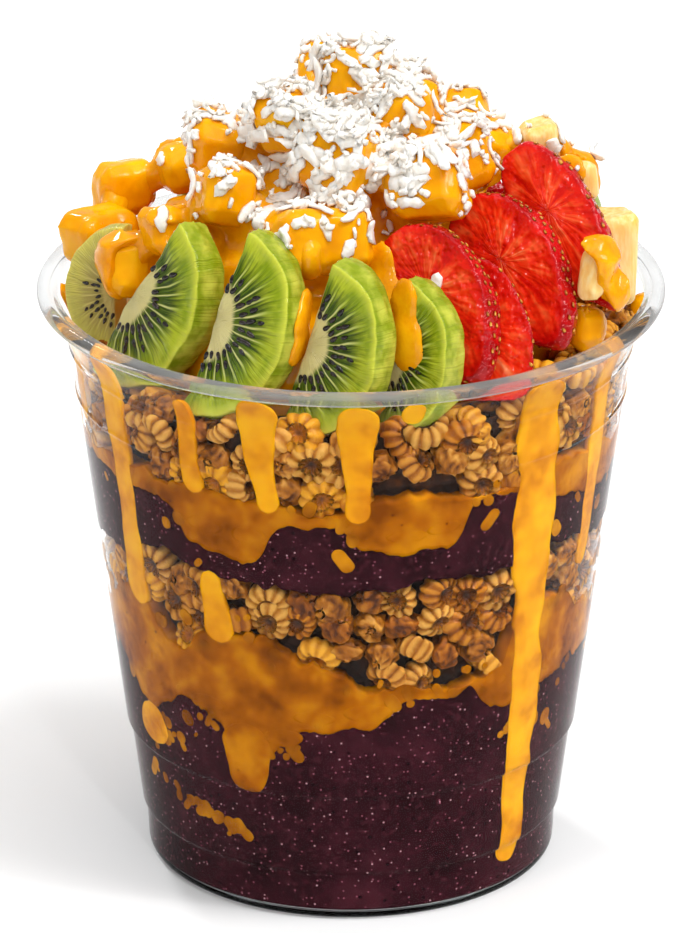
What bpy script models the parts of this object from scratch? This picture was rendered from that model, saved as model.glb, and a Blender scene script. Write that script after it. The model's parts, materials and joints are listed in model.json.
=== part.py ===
"""An acai bowl served in a clear plastic cup.

The cup is a turned shell with a rolled lip. Inside, from the base up, lie acai, mango sauce, granola,
acai, mango sauce and granola. A heap of mango stands on top, ringed by kiwi and strawberry slices.
Metres, +Z up, the origin under the middle of the cup. The side with the kiwi fan faces -Y, and an
azimuth is counted in degrees from -Y towards +X.
"""
import math
import random

import bmesh
import bpy
import numpy as np
from mathutils import Matrix, Vector
from mathutils.bvhtree import BVHTree

MM = 0.001
STEPS = 42            # facets round the cup and its layers
GAP = 0.3 * MM        # clearance between two touching pieces

# Cup
RIM_R = 58.5 * MM     # widest point of the rolled lip
RIM_Z = 112.3 * MM    # height of the lip's middle
LIP = 1.4 * MM        # radius of the lip's bead
BASE_R = 36.2 * MM    # flat foot, inside its rounded edge
FOOT_R = 38.6 * MM    # outer radius just above the foot's rounded edge
WALL = 0.7 * MM
FLOOR = 0.9 * MM
STEP_LOW = 10.0 * MM  # height of the lower moulded step
STEP_HIGH = 26.7 * MM
STEP_OUT = 0.65 * MM  # how far the wall steps out at each
STEP_ENDS = (STEP_LOW - 0.5 * MM, STEP_LOW + 0.3 * MM, STEP_HIGH - 0.5 * MM, STEP_HIGH + 0.3 * MM)
RING_LOW = 93.5 * MM  # moulded stacking lines under the lip
RING_HIGH = 102.6 * MM
RING_OUT = 0.3 * MM
TAPER = 0.132         # outward slope of the wall
RING_R = 51.3 * MM    # outer radius at the lower stacking line
LAYER_RING = 0.86     # share of the way to the wall where a layer's boundary starts to wander
PUSH_UP = 1.1 * MM    # how far the middle of the base is pushed up
PUSH_R = 28.0 * MM

# Fruit
KIWI_HIGH = 18.5 * MM  # half the length of a kiwi slice's cut edge
KIWI_DEEP = 16.0 * MM  # from the cut edge to the skin
KIWI_THICK = 7.2 * MM
BERRY_LONG = 36.0 * MM
BERRY_WIDE = 24.5 * MM
CHUNK_SKEW = 0.18     # how far a block's corners stray, as a share of its size
HEAP_R = 42.0 * MM    # radius and height of the sauce-bound middle of the heap
HEAP_HIGH = 52.0 * MM
HEAP_STEPS = 28
SETTLE_ROUNDS = 300
SETTLE_PULL = 0.06    # share of the way back to its spot that a piece is drawn in each round
SETTLE_STEP = 1e-8    # places are rounded to this after each round
SETTLE_PUSH = 0.8     # share of an overlap that is cleared in each round
PULLED_SHARE = 0.6    # share of the rounds in which pieces are still drawn to their spots
HEAP_CLEAR = 1.2 * MM # gap between the middle of the heap and the fruit round it

PARTS = "acai_cup"


def collection(name):
    """A collection of that name, linked to the scene."""
    made = bpy.data.collections.new(name)
    bpy.context.scene.collection.children.link(made)
    return made


def material(name, colour, roughness, alpha=1.0):
    """A Principled BSDF material."""
    made = bpy.data.materials.new(name)
    made.use_nodes = True
    shader = made.node_tree.nodes["Principled BSDF"]
    shader.inputs["Base Color"].default_value = (*colour, 1.0)
    shader.inputs["Roughness"].default_value = roughness
    shader.inputs["Metallic"].default_value = 0.0
    shader.inputs["Alpha"].default_value = alpha
    made.diffuse_color = (*colour, alpha)
    return made


def add(name, mesh, finish, smooth=True):
    """A mesh object in the collection of parts."""
    made = bpy.data.objects.new(name, mesh)
    bpy.data.collections[PARTS].objects.link(made)
    mesh.materials.clear()
    mesh.materials.append(finish)
    if smooth:
        mesh.shade_smooth()
        mesh.set_sharp_from_angle(angle=math.radians(40))
    return made


def turned(name, profile):
    """A mesh of revolution about Z, from a profile that starts and ends on the axis."""
    line = bpy.data.meshes.new(name)
    line.from_pydata([(radius, 0.0, height) for radius, height in profile],
                     [(i, i + 1) for i in range(len(profile) - 1)], [])
    guide = bpy.data.objects.new(name, line)
    bpy.context.scene.collection.objects.link(guide)
    screw = guide.modifiers.new("Screw", "SCREW")
    screw.steps = screw.render_steps = STEPS
    screw.use_merge_vertices = True
    screw.merge_threshold = 0.00001
    evaluated = guide.evaluated_get(bpy.context.evaluated_depsgraph_get())
    mesh = bpy.data.meshes.new_from_object(evaluated)
    bpy.data.objects.remove(guide)
    return mesh


def wall_radius(height):
    """Outer radius of the cup's wall at a height between its foot and its lip."""
    radius = RING_R - TAPER * (RING_LOW - height)
    if height < STEP_HIGH:
        radius -= STEP_OUT
    if height < STEP_LOW:
        radius = FOOT_R + 0.05 * (height - 0.4 * STEP_LOW)
    if height > RING_HIGH:
        radius += 0.16 * (height - RING_HIGH) + 18.0 * (height - RING_HIGH) ** 2
    return radius


def inner_radius(height):
    """Inner radius of the cup's wall."""
    return wall_radius(height) - WALL


def floor_height(radius):
    """Top of the cup's floor, which is pushed up in the middle."""
    return FLOOR + (PUSH_UP if radius < PUSH_R + 1.0 * MM else 0.0)


def cup_profile():
    """Half section of the cup: up the inside, over the lip and down the outside."""
    heights = [4.0 * MM, *STEP_ENDS, RING_LOW, RING_HIGH, 106.2 * MM, 109.6 * MM]
    inside = [(0.0, FLOOR + PUSH_UP), (PUSH_R, FLOOR + PUSH_UP), (PUSH_R + 2.4 * MM, FLOOR),
              (BASE_R - 0.4 * MM, FLOOR), (inner_radius(2.6 * MM), 2.6 * MM)]
    inside += [(inner_radius(height), height) for height in heights]
    bead = RIM_R - LIP
    lip = [(bead - 2.3 * MM, RIM_Z + 0.7 * MM), (bead - 1.3 * MM, RIM_Z + 0.5 * MM)]
    lip += [(bead + LIP * math.cos(turn), RIM_Z + LIP * math.sin(turn))
            for turn in (math.radians(angle) for angle in (125, 75, 30, -15, -60, -110))]
    outside = []
    for height in reversed(heights):
        bulge = RING_OUT if height in (RING_LOW, RING_HIGH) else 0.0
        if bulge:
            outside.append((wall_radius(height + 0.9 * MM), height + 0.9 * MM))
        outside.append((wall_radius(height) + bulge, height))
    outside += [(FOOT_R - 0.25 * MM, 1.6 * MM), (FOOT_R - 1.1 * MM, 0.4 * MM), (BASE_R, 0.0),
                (PUSH_R + 2.0 * MM, 0.0), (PUSH_R, PUSH_UP), (0.0, PUSH_UP)]
    return inside + lip + outside


def bumps(azimuth, features):
    """Sum of smooth bumps (azimuth, half width, rise) round the cup."""
    total = 0.0
    for middle, width, rise in features:
        away = (azimuth - middle + 180.0) % 360.0 - 180.0
        total += rise * MM * math.exp(-(away / width) ** 2)
    return total


# Where one layer meets the next at the wall: mean height in mm, then its bumps. The last number is the
# height in the middle of the cup.
ACAI_LOW_TOP = (44.0, ((-66, 8, 3), (-38, 16, -4), (-26, 8, -12.5), (3, 8, -6), (21, 10, 4.5), (58, 10, -2),
                       (110, 12, -7), (150, 10, 4), (-170, 14, -6), (-120, 12, -8)), 44.0)
SAUCE_LOW_TOP = (53.0, ((-60, 9, 5), (-8, 8, -2), (18, 14, -3.2), (60, 12, 8), (105, 14, 3), (150, 12, -3),
                        (-150, 16, 3), (-105, 12, -2)), 51.0)
GRANOLA_LOW_TOP = (72.5, ((-46, 12, 1.5), (-12, 10, -2), (14, 7, 1.5), (30, 8, -2), (90, 16, 1.5),
                          (135, 14, -2), (-160, 16, 1.5), (-100, 14, -1.5)), 71.0)
ACAI_HIGH_TOP = (83.5, ((-52, 10, 1.5), (-29, 9, -6), (14, 11, -5), (31, 7, 3.5), (100, 10, -5), (140, 12, 2),
                        (-155, 12, -5), (-110, 12, 2)), 84.0)
SAUCE_HIGH_TOP = (88.5, ((14, 12, 1.2), (60, 12, 1), (120, 14, 1), (-140, 14, -0.6), (-20, 10, -0.8)), 87.5)
GRANOLA_HIGH_TOP = (101.0, ((45, 16, 3.0), (-60, 10, -1.0), (100, 18, 2.0), (160, 14, -1.0), (-130, 16, 2.0)),
                    97.0)


def boundary(shape, azimuth, reach):
    """Height of a boundary between layers, at a share `reach` of the way from the axis to the wall."""
    mean, features, middle = shape
    at_wall = mean * MM + bumps(azimuth, features)
    return middle * MM + (at_wall - middle * MM) * reach ** 6


def layer(name, below, above, finish, foot_rings=(LAYER_RING,), levels=()):
    """One layer: a disc that fills the cup between two boundaries, clear of the wall by a gap.

    Its half section runs from 0 at the lower boundary to 1 at the upper one, and a point of 2 or more at the
    wall stands for one of the given levels, where the wall has a step.
    """
    top = [(0.0, 1.0), (LAYER_RING, 1.0), (1.0, 1.0)]
    side = [(1.0, 2.0 + index) for index in reversed(range(len(levels)))]
    bottom = [(1.0, 0.0)] + [(reach, 0.0) for reach in reversed(foot_rings)] + [(0.0, 0.0)]
    mesh = turned(name, top + side + bottom)
    for vertex in mesh.vertices:
        reach = math.hypot(vertex.co.x, vertex.co.y)
        azimuth = math.degrees(math.atan2(vertex.co.x, -vertex.co.y)) if reach else 0.0
        low = below(azimuth, reach) + GAP / 2
        high = above(azimuth, reach) - GAP / 2
        if vertex.co.z > 1.5:
            height = levels[round(vertex.co.z) - 2]
        else:
            height = low + (high - low) * vertex.co.z
        radius = reach * (inner_radius(height) - GAP)
        turn = math.radians(azimuth)
        vertex.co = (radius * math.sin(turn), -radius * math.cos(turn), height)
    shape = bmesh.new()
    shape.from_mesh(mesh)
    bmesh.ops.triangulate(shape, faces=shape.faces, quad_method="SHORT_EDGE")
    shape.to_mesh(mesh)
    shape.free()
    return add(name, mesh, finish)


def make_layers(acai, sauce, granola):
    """The six layers between the cup's floor and the fruit."""
    def bottom(_azimuth, reach):
        if reach > 0.99:
            return 3.0 * MM
        return floor_height(reach * inner_radius(3.0 * MM)) + GAP

    def edge(shape):
        return lambda azimuth, reach: boundary(shape, azimuth, reach)

    layer("acai_lower", bottom, edge(ACAI_LOW_TOP), acai, (0.75, 0.83, 0.94), STEP_ENDS)
    layer("mango_sauce_lower", edge(ACAI_LOW_TOP), edge(SAUCE_LOW_TOP), sauce)
    layer("granola_lower", edge(SAUCE_LOW_TOP), edge(GRANOLA_LOW_TOP), granola)
    layer("acai_upper", edge(GRANOLA_LOW_TOP), edge(ACAI_HIGH_TOP), acai)
    layer("mango_sauce_upper", edge(ACAI_HIGH_TOP), edge(SAUCE_HIGH_TOP), sauce)
    layer("granola_upper", edge(SAUCE_HIGH_TOP), edge(GRANOLA_HIGH_TOP), granola)


def spot(azimuth, radius, height):
    """A place given by azimuth in degrees, distance from the axis and height in mm."""
    turn = math.radians(azimuth)
    return Vector((radius * math.sin(turn), -radius * math.cos(turn), height)) * MM


def stand(piece, azimuth, radius, height, turn, lean, roll):
    """Put a piece at a spot, rolled about Y, leaning back about X and turned about Z."""
    tilt = (Matrix.Rotation(math.radians(turn), 4, "Z") @ Matrix.Rotation(math.radians(-lean), 4, "X")
            @ Matrix.Rotation(math.radians(roll), 4, "Y"))
    piece.matrix_world = Matrix.Translation(spot(azimuth, radius, height)) @ tilt


def world_shape(piece):
    """Corners and face normals of a piece, and a bounding radius about its origin, in world space."""
    bpy.context.view_layer.update()
    evaluated = piece.evaluated_get(bpy.context.evaluated_depsgraph_get())
    mesh = evaluated.to_mesh()
    turn = piece.matrix_world.to_3x3()
    corners = np.array([turn @ vertex.co for vertex in mesh.vertices])
    normals = np.array([turn @ face.normal for face in mesh.polygons])
    evaluated.to_mesh_clear()
    return corners, normals, np.linalg.norm(corners, axis=1).max()


def along(points, normals):
    """How far each point lies along each normal."""
    return sum(points[:, axis, None] * normals[None, :, axis] for axis in range(3))


def push_apart(first, second, offset):
    """Shortest move that frees convex shape `second`, `offset` away, from `first`, with the gap between."""
    best = None
    for sign, (corners, normals, _reach), (others, _normals, _other_reach) in (
            (1.0, first, second), (-1.0, second, first)):
        face = along(corners, normals).max(axis=0)
        near = along(others, normals).min(axis=0) + sign * along(offset[None, :], normals)[0]
        depth = face - near + 2.0 * GAP
        index = int(depth.argmin())
        if depth[index] <= 0.0:
            return None
        if best is None or depth[index] < best[0]:
            best = (depth[index], sign * normals[index])
    return best[0] * best[1]


def clear_of_cup(corners, place):
    """Move that brings a piece inside the cup's wall and above its granola."""
    points = corners + place
    reach = np.hypot(points[:, 0], points[:, 1])
    walls = np.array([inner_radius(min(height, RIM_Z - 2.0 * MM)) if height < RIM_Z + LIP + GAP else 1.0
                      for height in points[:, 2]])
    excess = float((reach - walls).max()) + 2.0 * GAP
    move = np.zeros(3)
    if excess > 0.0:
        worst = points[int((reach - walls).argmax())]
        lift = RIM_Z + LIP + 2.0 * GAP - worst[2]
        if lift < excess:
            move[2] = lift
        else:
            move[:2] = -excess * worst[:2] / math.hypot(worst[0], worst[1])
    shares = np.minimum(1.0, reach / inner_radius(RING_LOW))
    floors = np.array([boundary(GRANOLA_HIGH_TOP, math.degrees(math.atan2(x, -y)), share)
                       for (x, y, _z), share in zip(points, shares)])
    move[2] += max(0.0, float((floors - points[:, 2]).max()) + 2.0 * GAP)
    return move


def settle(pieces, holds):
    """Let the pieces push each other apart round their spots, until none of them touch."""
    shapes = [world_shape(piece) for piece in pieces]
    spots = np.array([piece.matrix_world.translation for piece in pieces])
    places = spots.copy()
    for count in range(SETTLE_ROUNDS):
        pull = SETTLE_PULL if count < PULLED_SHARE * SETTLE_ROUNDS else 0.0
        places += pull * (spots - places)
        touching = 0
        for i, first in enumerate(shapes):
            for j in range(i):
                offset = places[i] - places[j]
                if np.linalg.norm(offset) > first[2] + shapes[j][2]:
                    continue
                move = push_apart(shapes[j], first, offset)
                if move is None:
                    continue
                touching += 1
                share = holds[j] / (holds[i] + holds[j])
                places[i] += SETTLE_PUSH * share * move
                places[j] -= SETTLE_PUSH * (1.0 - share) * move
            places[i] += clear_of_cup(first[0], places[i])
        places = np.round(places / SETTLE_STEP) * SETTLE_STEP
        if not pull and not touching:
            break
    for piece, place in zip(pieces, places):
        piece.location = place


def make_heap(sauce, pieces):
    """The sauce-bound middle of the heap: a dome that reaches out to the fruit all round."""
    bpy.context.view_layer.update()
    trees = [tree_of(piece) for piece in pieces]
    foot = Vector((0.0, 0.0, (GRANOLA_HIGH_TOP[2] + 2.5) * MM))
    shape = bmesh.new()
    bmesh.ops.create_uvsphere(shape, u_segments=HEAP_STEPS, v_segments=HEAP_STEPS // 2, radius=1.0)
    cut(shape, (0.0, 0.0, 0.0), (0.0, 0.0, -1.0))
    spread = 0.6 * math.tau / HEAP_STEPS
    for vertex in shape.verts:
        away = vertex.co.normalized()
        azimuth = math.atan2(away.x, -away.y)
        rise = math.asin(away.z)
        reach = 1.0 / math.sqrt((math.cos(rise) / HEAP_R) ** 2 + (math.sin(rise) / HEAP_HIGH) ** 2)
        for side in (-spread, 0.0, spread):
            for up in (-spread, 0.0, spread):
                level = min(max(rise + up, 0.02), 0.5 * math.pi)
                ray = Vector((math.cos(level) * math.sin(azimuth + side),
                              -math.cos(level) * math.cos(azimuth + side), math.sin(level)))
                for tree in trees:
                    hit = tree.ray_cast(foot, ray, reach + HEAP_CLEAR)
                    if hit[3] is not None:
                        reach = min(reach, hit[3] - HEAP_CLEAR)
        vertex.co = foot + away * reach
    add("mango_heap", finished(shape, "mango_heap"), sauce)


def tree_of(piece):
    """Search tree of a piece's faces in world space."""
    evaluated = piece.evaluated_get(bpy.context.evaluated_depsgraph_get())
    mesh = evaluated.to_mesh()
    points = [piece.matrix_world @ vertex.co for vertex in mesh.vertices]
    faces = [tuple(face.vertices) for face in mesh.polygons]
    evaluated.to_mesh_clear()
    return BVHTree.FromPolygons(points, faces)


def kiwi_mesh(scale):
    """Half a slice of kiwi: cut edge along Z, skin towards +X, one face towards -Y."""
    shape = bmesh.new()
    bmesh.ops.create_cone(shape, cap_ends=True, segments=28, radius1=1.0, radius2=1.0, depth=KIWI_THICK)
    bmesh.ops.rotate(shape, verts=shape.verts, matrix=Matrix.Rotation(math.radians(90), 3, "X"))
    skin = [edge for edge in shape.edges if abs(edge.verts[0].co.y - edge.verts[1].co.y) > 0.5 * KIWI_THICK]
    bmesh.ops.subdivide_edges(shape, edges=skin, cuts=1)
    for vertex in shape.verts:
        belly = scale if abs(vertex.co.y) < 0.1 * KIWI_THICK else 0.96 * scale
        vertex.co.x *= belly * KIWI_DEEP
        vertex.co.z *= belly * KIWI_HIGH
    cut(shape, (0.0, 0.0, 0.0), (-1.0, 0.0, 0.0))
    return finished(shape, "kiwi_slice")


def berry_radius(share):
    """Radius of a strawberry along its length, from its tip (0) to its shoulder (1)."""
    return 0.5 * BERRY_WIDE * max(0.0, math.sin(math.pi * share ** 1.2)) ** 0.55


def berry_mesh(scale, front, back, wide):
    """A slice of strawberry between two cuts across Y, tip down, with a dimple under its calyx."""
    shape = bmesh.new()
    bmesh.ops.create_uvsphere(shape, u_segments=16, v_segments=9, radius=1.0)
    for vertex in shape.verts:
        share = 0.5 + 0.5 * vertex.co.z
        flat = math.hypot(vertex.co.x, vertex.co.y)
        dimple = 0.08 if flat < 1e-6 and share > 0.5 else 0.0
        radius = wide * scale * berry_radius(share) / max(flat, 1e-6)
        vertex.co = (vertex.co.x * radius, vertex.co.y * radius, (share - 0.5 - dimple) * scale * BERRY_LONG)
    cut(shape, (0.0, -front * MM, 0.0), (0.0, -1.0, 0.0))
    cut(shape, (0.0, back * MM, 0.0), (0.0, 1.0, 0.0))
    return finished(shape, "strawberry_slice")


def cut(shape, point, side):
    """Cut a closed mesh with a plane, drop what lies on its side, and close the cut."""
    everything = shape.verts[:] + shape.edges[:] + shape.faces[:]
    kept = bmesh.ops.bisect_plane(shape, geom=everything, dist=1e-7, plane_co=point, plane_no=side,
                                  clear_outer=True)
    rim = [piece for piece in kept["geom_cut"] if isinstance(piece, bmesh.types.BMEdge)]
    bmesh.ops.contextual_create(shape, geom=rim)


def finished(shape, name):
    """The mesh of a closed bmesh, with its faces outwards."""
    bmesh.ops.recalc_face_normals(shape, faces=shape.faces)
    mesh = bpy.data.meshes.new(name)
    shape.to_mesh(mesh)
    shape.free()
    return mesh


def chunk_mesh(name, size, seed):
    """A hand-cut block of fruit of a given size, none of its faces quite square."""
    rng = random.Random(seed)
    shape = bmesh.new()
    bmesh.ops.create_cube(shape, size=1.0)
    for vertex in shape.verts:
        vertex.co = Vector([vertex.co[axis] * size[axis] * MM * (1.0 + rng.uniform(-CHUNK_SKEW, CHUNK_SKEW))
                            for axis in range(3)])
    return finished(shape, name)


def rounded(piece, width):
    """Round a block's edges."""
    bevel = piece.modifiers.new("Bevel", "BEVEL")
    bevel.width = width * MM
    bevel.segments = 1
    bevel.limit_method = "NONE"


# How firmly a piece keeps its spot while the heap settles.
FRONT_KIWI_HOLD = 12.0
FRONT_BERRY_HOLD = 8.0
FRONT_MANGO_HOLD = 3.0
BACK_HOLD = 2.0
CHUNK_HOLD = 1.0
FRONT_KIWIS = 5
FRONT_BERRIES = 4
FRONT_MANGOES = (1, 2, 7, 8, 9, 17)

# Kiwi half slices: azimuth, distance from the axis and height of the middle of the cut edge, then turn
# about Z, lean back, roll and scale.
KIWIS = (
    (-87, 42.5, 113.0, -25, 12, 180, 0.68),
    (-64, 41.5, 117.5, -46, 14, 26, 1.0),
    (-33, 42.3, 119.5, -30, 15, 14, 1.0),
    (-8.5, 41.3, 117.0, -33, 9, 14, 0.96),
    (13.5, 41.0, 114.5, -40, 10, 4, 0.82),
    (100.7, 46.8, 115.6, 84, 14, 0, 0.68),
    (154, 39.0, 118.0, 136, 14, 8, 1.0),
    (180, 39.0, 118.0, 162, 14, 4, 1.0),
    (206, 39.0, 118.0, 190, 14, 6, 0.95),
)

# Strawberry slices: the place of the berry's middle, then turn, lean, roll and scale, and how far in mm the
# two cuts lie in front of and behind its axis, and its width as a share of the usual one.
BERRIES = (
    (25, 36.0, 121.5, -30, 22, -46, 0.95, 2.5, 3.5, 0.92),
    (31.5, 42.0, 117.5, -30, 22, -48, 0.95, -3.8, 20.0, 1.0),
    (51.5, 37.4, 124.0, -34, 22, -52, 1.0, 2.5, 3.5, 0.86),
    (68.2, 41.5, 129.7, -34, 22, -50, 1.1, 1.5, 2.5, 0.58),
    (112, 39.0, 115.5, 97, 20, -28, 0.85, 2.5, 3.0, 1.0),
    (131, 40.0, 119.5, 116, 20, -28, 0.95, 2.5, 3.0, 1.0),
    (231, 39.5, 111.5, 222, 20, 24, 0.75, 2.5, 4.0, 1.0),
)

# Mango: place of the middle, turn, lean, roll, and size along each axis.
MANGOES = (
    (-101, 48.0, 117.2, 40, 4, -4, 12.5, 10.5, 9.5),
    (-119, 49.0, 122.4, 24, 8, -8, 11.5, 9.5, 10.0),
    (-98, 25.5, 139.0, 4, -8, 12, 10.5, 11.0, 10.0),
    (-72, 35.5, 127.5, 34, 20, 8, 9.5, 9.0, 9.5),
    (-79, 42.5, 119.3, 10, 16, -4, 8.0, 6.5, 11.0),
    (-59, 27.2, 135.5, 30, 22, 14, 10.0, 10.0, 10.0),
    (-6, 14.5, 142.0, -34, 20, 8, 14.5, 13.0, 13.0),
    (-8, 27.0, 133.0, 22, 24, 4, 18.0, 11.0, 12.0),
    (37, 21.8, 138.0, -24, 26, -22, 13.5, 11.0, 13.0),
    (73, 21.2, 140.0, 10, 26, -20, 10.5, 10.5, 11.5),
    (148, 5.5, 151.0, 20, 6, 12, 11.5, 10.5, 10.5),
    (-70, 11.5, 147.5, 52, 12, -18, 10.0, 11.0, 10.0),
    (-134, 11.0, 144.0, 12, 4, -24, 9.5, 9.5, 9.5),
    (76, 12.0, 146.5, 36, 6, 18, 10.0, 10.0, 9.5),
    (112, 23.0, 138.0, 8, -4, 24, 11.5, 10.5, 10.0),
    (59, 50.0, 115.2, 20, 18, 10, 7.0, 6.5, 8.0),
    (-124, 38.0, 126.8, 16, 6, -10, 8.5, 8.5, 8.5),
)
BACK_RINGS = ((15.5, 143.0, (134, 190)), (29.0, 132.0, (140, 166, 192, 218)))

# Pineapple: the same columns as the mango.
PINEAPPLES = (
    (98, 34.6, 137.8, 10, -4, -14, 7.0, 7.5, 8.5),
    (98, 42.6, 130.3, 8, 4, -14, 6.0, 7.0, 8.0),
    (81, 48.8, 121.3, 10, 4, 6, 8.5, 8.0, 16.0),
    (57, 49.3, 124.5, -34, 22, -6, 5.2, 4.0, 9.5),
    (243, 39.0, 107.5, 30, 8, 8, 10.0, 10.0, 10.0),
)


def make_fruit(kiwi, berry, mango, pineapple):
    """Every piece of fruit on the heap, settled against its neighbours."""
    pieces = []
    holds = []

    def place(name, mesh, finish, row, hold):
        piece = add(name, mesh, finish)
        stand(piece, *row)
        pieces.append(piece)
        holds.append(hold)
        return piece

    for number, (*row, scale) in enumerate(KIWIS, 1):
        hold = FRONT_KIWI_HOLD if number <= FRONT_KIWIS else BACK_HOLD
        place(f"kiwi_{number}", kiwi_mesh(scale), kiwi, row, hold)
    for number, (*row, scale, front, back, wide) in enumerate(BERRIES, 1):
        hold = FRONT_BERRY_HOLD if number <= FRONT_BERRIES else BACK_HOLD
        place(f"strawberry_{number}", berry_mesh(scale, front, back, wide), berry, row, hold)
    for number, (*row, long, deep, high) in enumerate(PINEAPPLES, 1):
        mesh = chunk_mesh("pineapple", (long, deep, high), number)
        rounded(place(f"pineapple_{number}", mesh, pineapple, row, CHUNK_HOLD), 1.2)
    rows = list(MANGOES)
    rng = random.Random(4)
    for radius, height, azimuths in BACK_RINGS:
        for azimuth in azimuths:
            size = [rng.uniform(11.0, 14.0) for _ in range(3)]
            rows.append((azimuth, radius, height, azimuth + rng.uniform(-30, 30), rng.uniform(20, 34),
                         rng.uniform(-15, 15), *size))
    for number, (*row, long, deep, high) in enumerate(rows, 1):
        mesh = chunk_mesh("mango", (long, deep, high), 40 + number)
        hold = FRONT_MANGO_HOLD if number in FRONT_MANGOES else CHUNK_HOLD
        rounded(place(f"mango_{number:02d}", mesh, mango, row, hold), 2.0)
    settle(pieces, holds)
    return pieces


def main():
    """Build the cup, its layers and the fruit."""
    for old in list(bpy.data.objects):
        bpy.data.objects.remove(old)
    collection(PARTS)
    plastic = material("clear_plastic", (0.9, 0.92, 0.92), 0.05, 0.3)
    acai = material("acai", (0.07, 0.012, 0.022), 0.45)
    sauce = material("mango_sauce", (0.75, 0.27, 0.01), 0.15)
    granola = material("granola", (0.42, 0.17, 0.04), 0.7)
    kiwi = material("kiwi", (0.33, 0.45, 0.05), 0.2)
    berry = material("strawberry", (0.62, 0.02, 0.015), 0.15)
    mango = material("mango", (0.85, 0.36, 0.01), 0.15)
    pineapple = material("pineapple", (0.9, 0.62, 0.2), 0.3)
    add("cup", turned("cup", cup_profile()), plastic)
    make_layers(acai, sauce, granola)
    make_heap(sauce, make_fruit(kiwi, berry, mango, pineapple))


main()
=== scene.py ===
"""Looks of an acai bowl in a clear plastic cup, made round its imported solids.

Metres, +Z up, the origin under the middle of the cup. An azimuth is counted in degrees from -Y, the side
with the kiwi fan, towards +X. Most sizes are written in millimetres and multiplied by MM.
"""

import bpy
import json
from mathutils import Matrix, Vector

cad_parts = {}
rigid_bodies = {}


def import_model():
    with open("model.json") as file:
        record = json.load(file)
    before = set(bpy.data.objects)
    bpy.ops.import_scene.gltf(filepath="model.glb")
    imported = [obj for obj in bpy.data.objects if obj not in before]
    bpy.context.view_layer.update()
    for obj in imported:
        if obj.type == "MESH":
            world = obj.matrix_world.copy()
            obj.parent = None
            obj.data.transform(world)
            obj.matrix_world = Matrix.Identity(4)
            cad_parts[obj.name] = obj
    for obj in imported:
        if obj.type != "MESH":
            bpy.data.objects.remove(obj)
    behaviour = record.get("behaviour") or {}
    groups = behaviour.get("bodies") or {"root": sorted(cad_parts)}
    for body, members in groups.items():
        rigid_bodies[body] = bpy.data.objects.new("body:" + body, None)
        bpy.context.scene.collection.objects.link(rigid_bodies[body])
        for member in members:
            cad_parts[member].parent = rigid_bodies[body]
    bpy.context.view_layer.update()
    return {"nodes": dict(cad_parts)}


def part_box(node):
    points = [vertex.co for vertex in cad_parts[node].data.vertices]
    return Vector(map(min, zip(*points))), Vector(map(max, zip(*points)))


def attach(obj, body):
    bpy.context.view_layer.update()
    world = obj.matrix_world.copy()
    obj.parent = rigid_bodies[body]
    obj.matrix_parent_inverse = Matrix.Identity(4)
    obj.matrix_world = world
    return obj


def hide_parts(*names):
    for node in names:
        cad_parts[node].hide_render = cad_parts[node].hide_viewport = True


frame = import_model()

import json
import math
import random

import bmesh
import bpy
import numpy as np
from mathutils import Matrix, Vector, noise
from mathutils.bvhtree import BVHTree

MM = 0.001

# Cup, as in the part
RIM_R = 58.5 * MM
RIM_Z = 112.3 * MM
LIP = 1.4 * MM
BASE_R = 36.2 * MM
FOOT_R = 38.6 * MM
WALL = 0.7 * MM
FLOOR = 0.9 * MM
STEP_LOW = 10.0 * MM
STEP_HIGH = 26.7 * MM
STEP_OUT = 0.65 * MM
RING_LOW = 93.5 * MM
RING_HIGH = 102.6 * MM
RING_OUT = 0.3 * MM
TAPER = 0.132
RING_R = 51.3 * MM
PUSH_UP = 1.1 * MM
PUSH_R = 28.0 * MM
CUP_STEPS = 256

# Fruit, as in the part
KIWI_HIGH = 18.5
KIWI_DEEP = 16.0
KIWI_THICK = 7.2
KIWI_RAYS = 14        # pale rays in a half slice, with a row of seeds between each two
BERRY_LONG = 36.0
BERRY_WIDE = 24.5


# ---------------------------------------------------------------- materials

def srgb(red, green, blue):
    """Linear colour of a colour given from 0 to 255."""
    return tuple(((c / 255 + 0.055) / 1.055) ** 2.4 if c > 10 else c / 255 / 12.92
                 for c in (red, green, blue)) + (1.0,)


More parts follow.
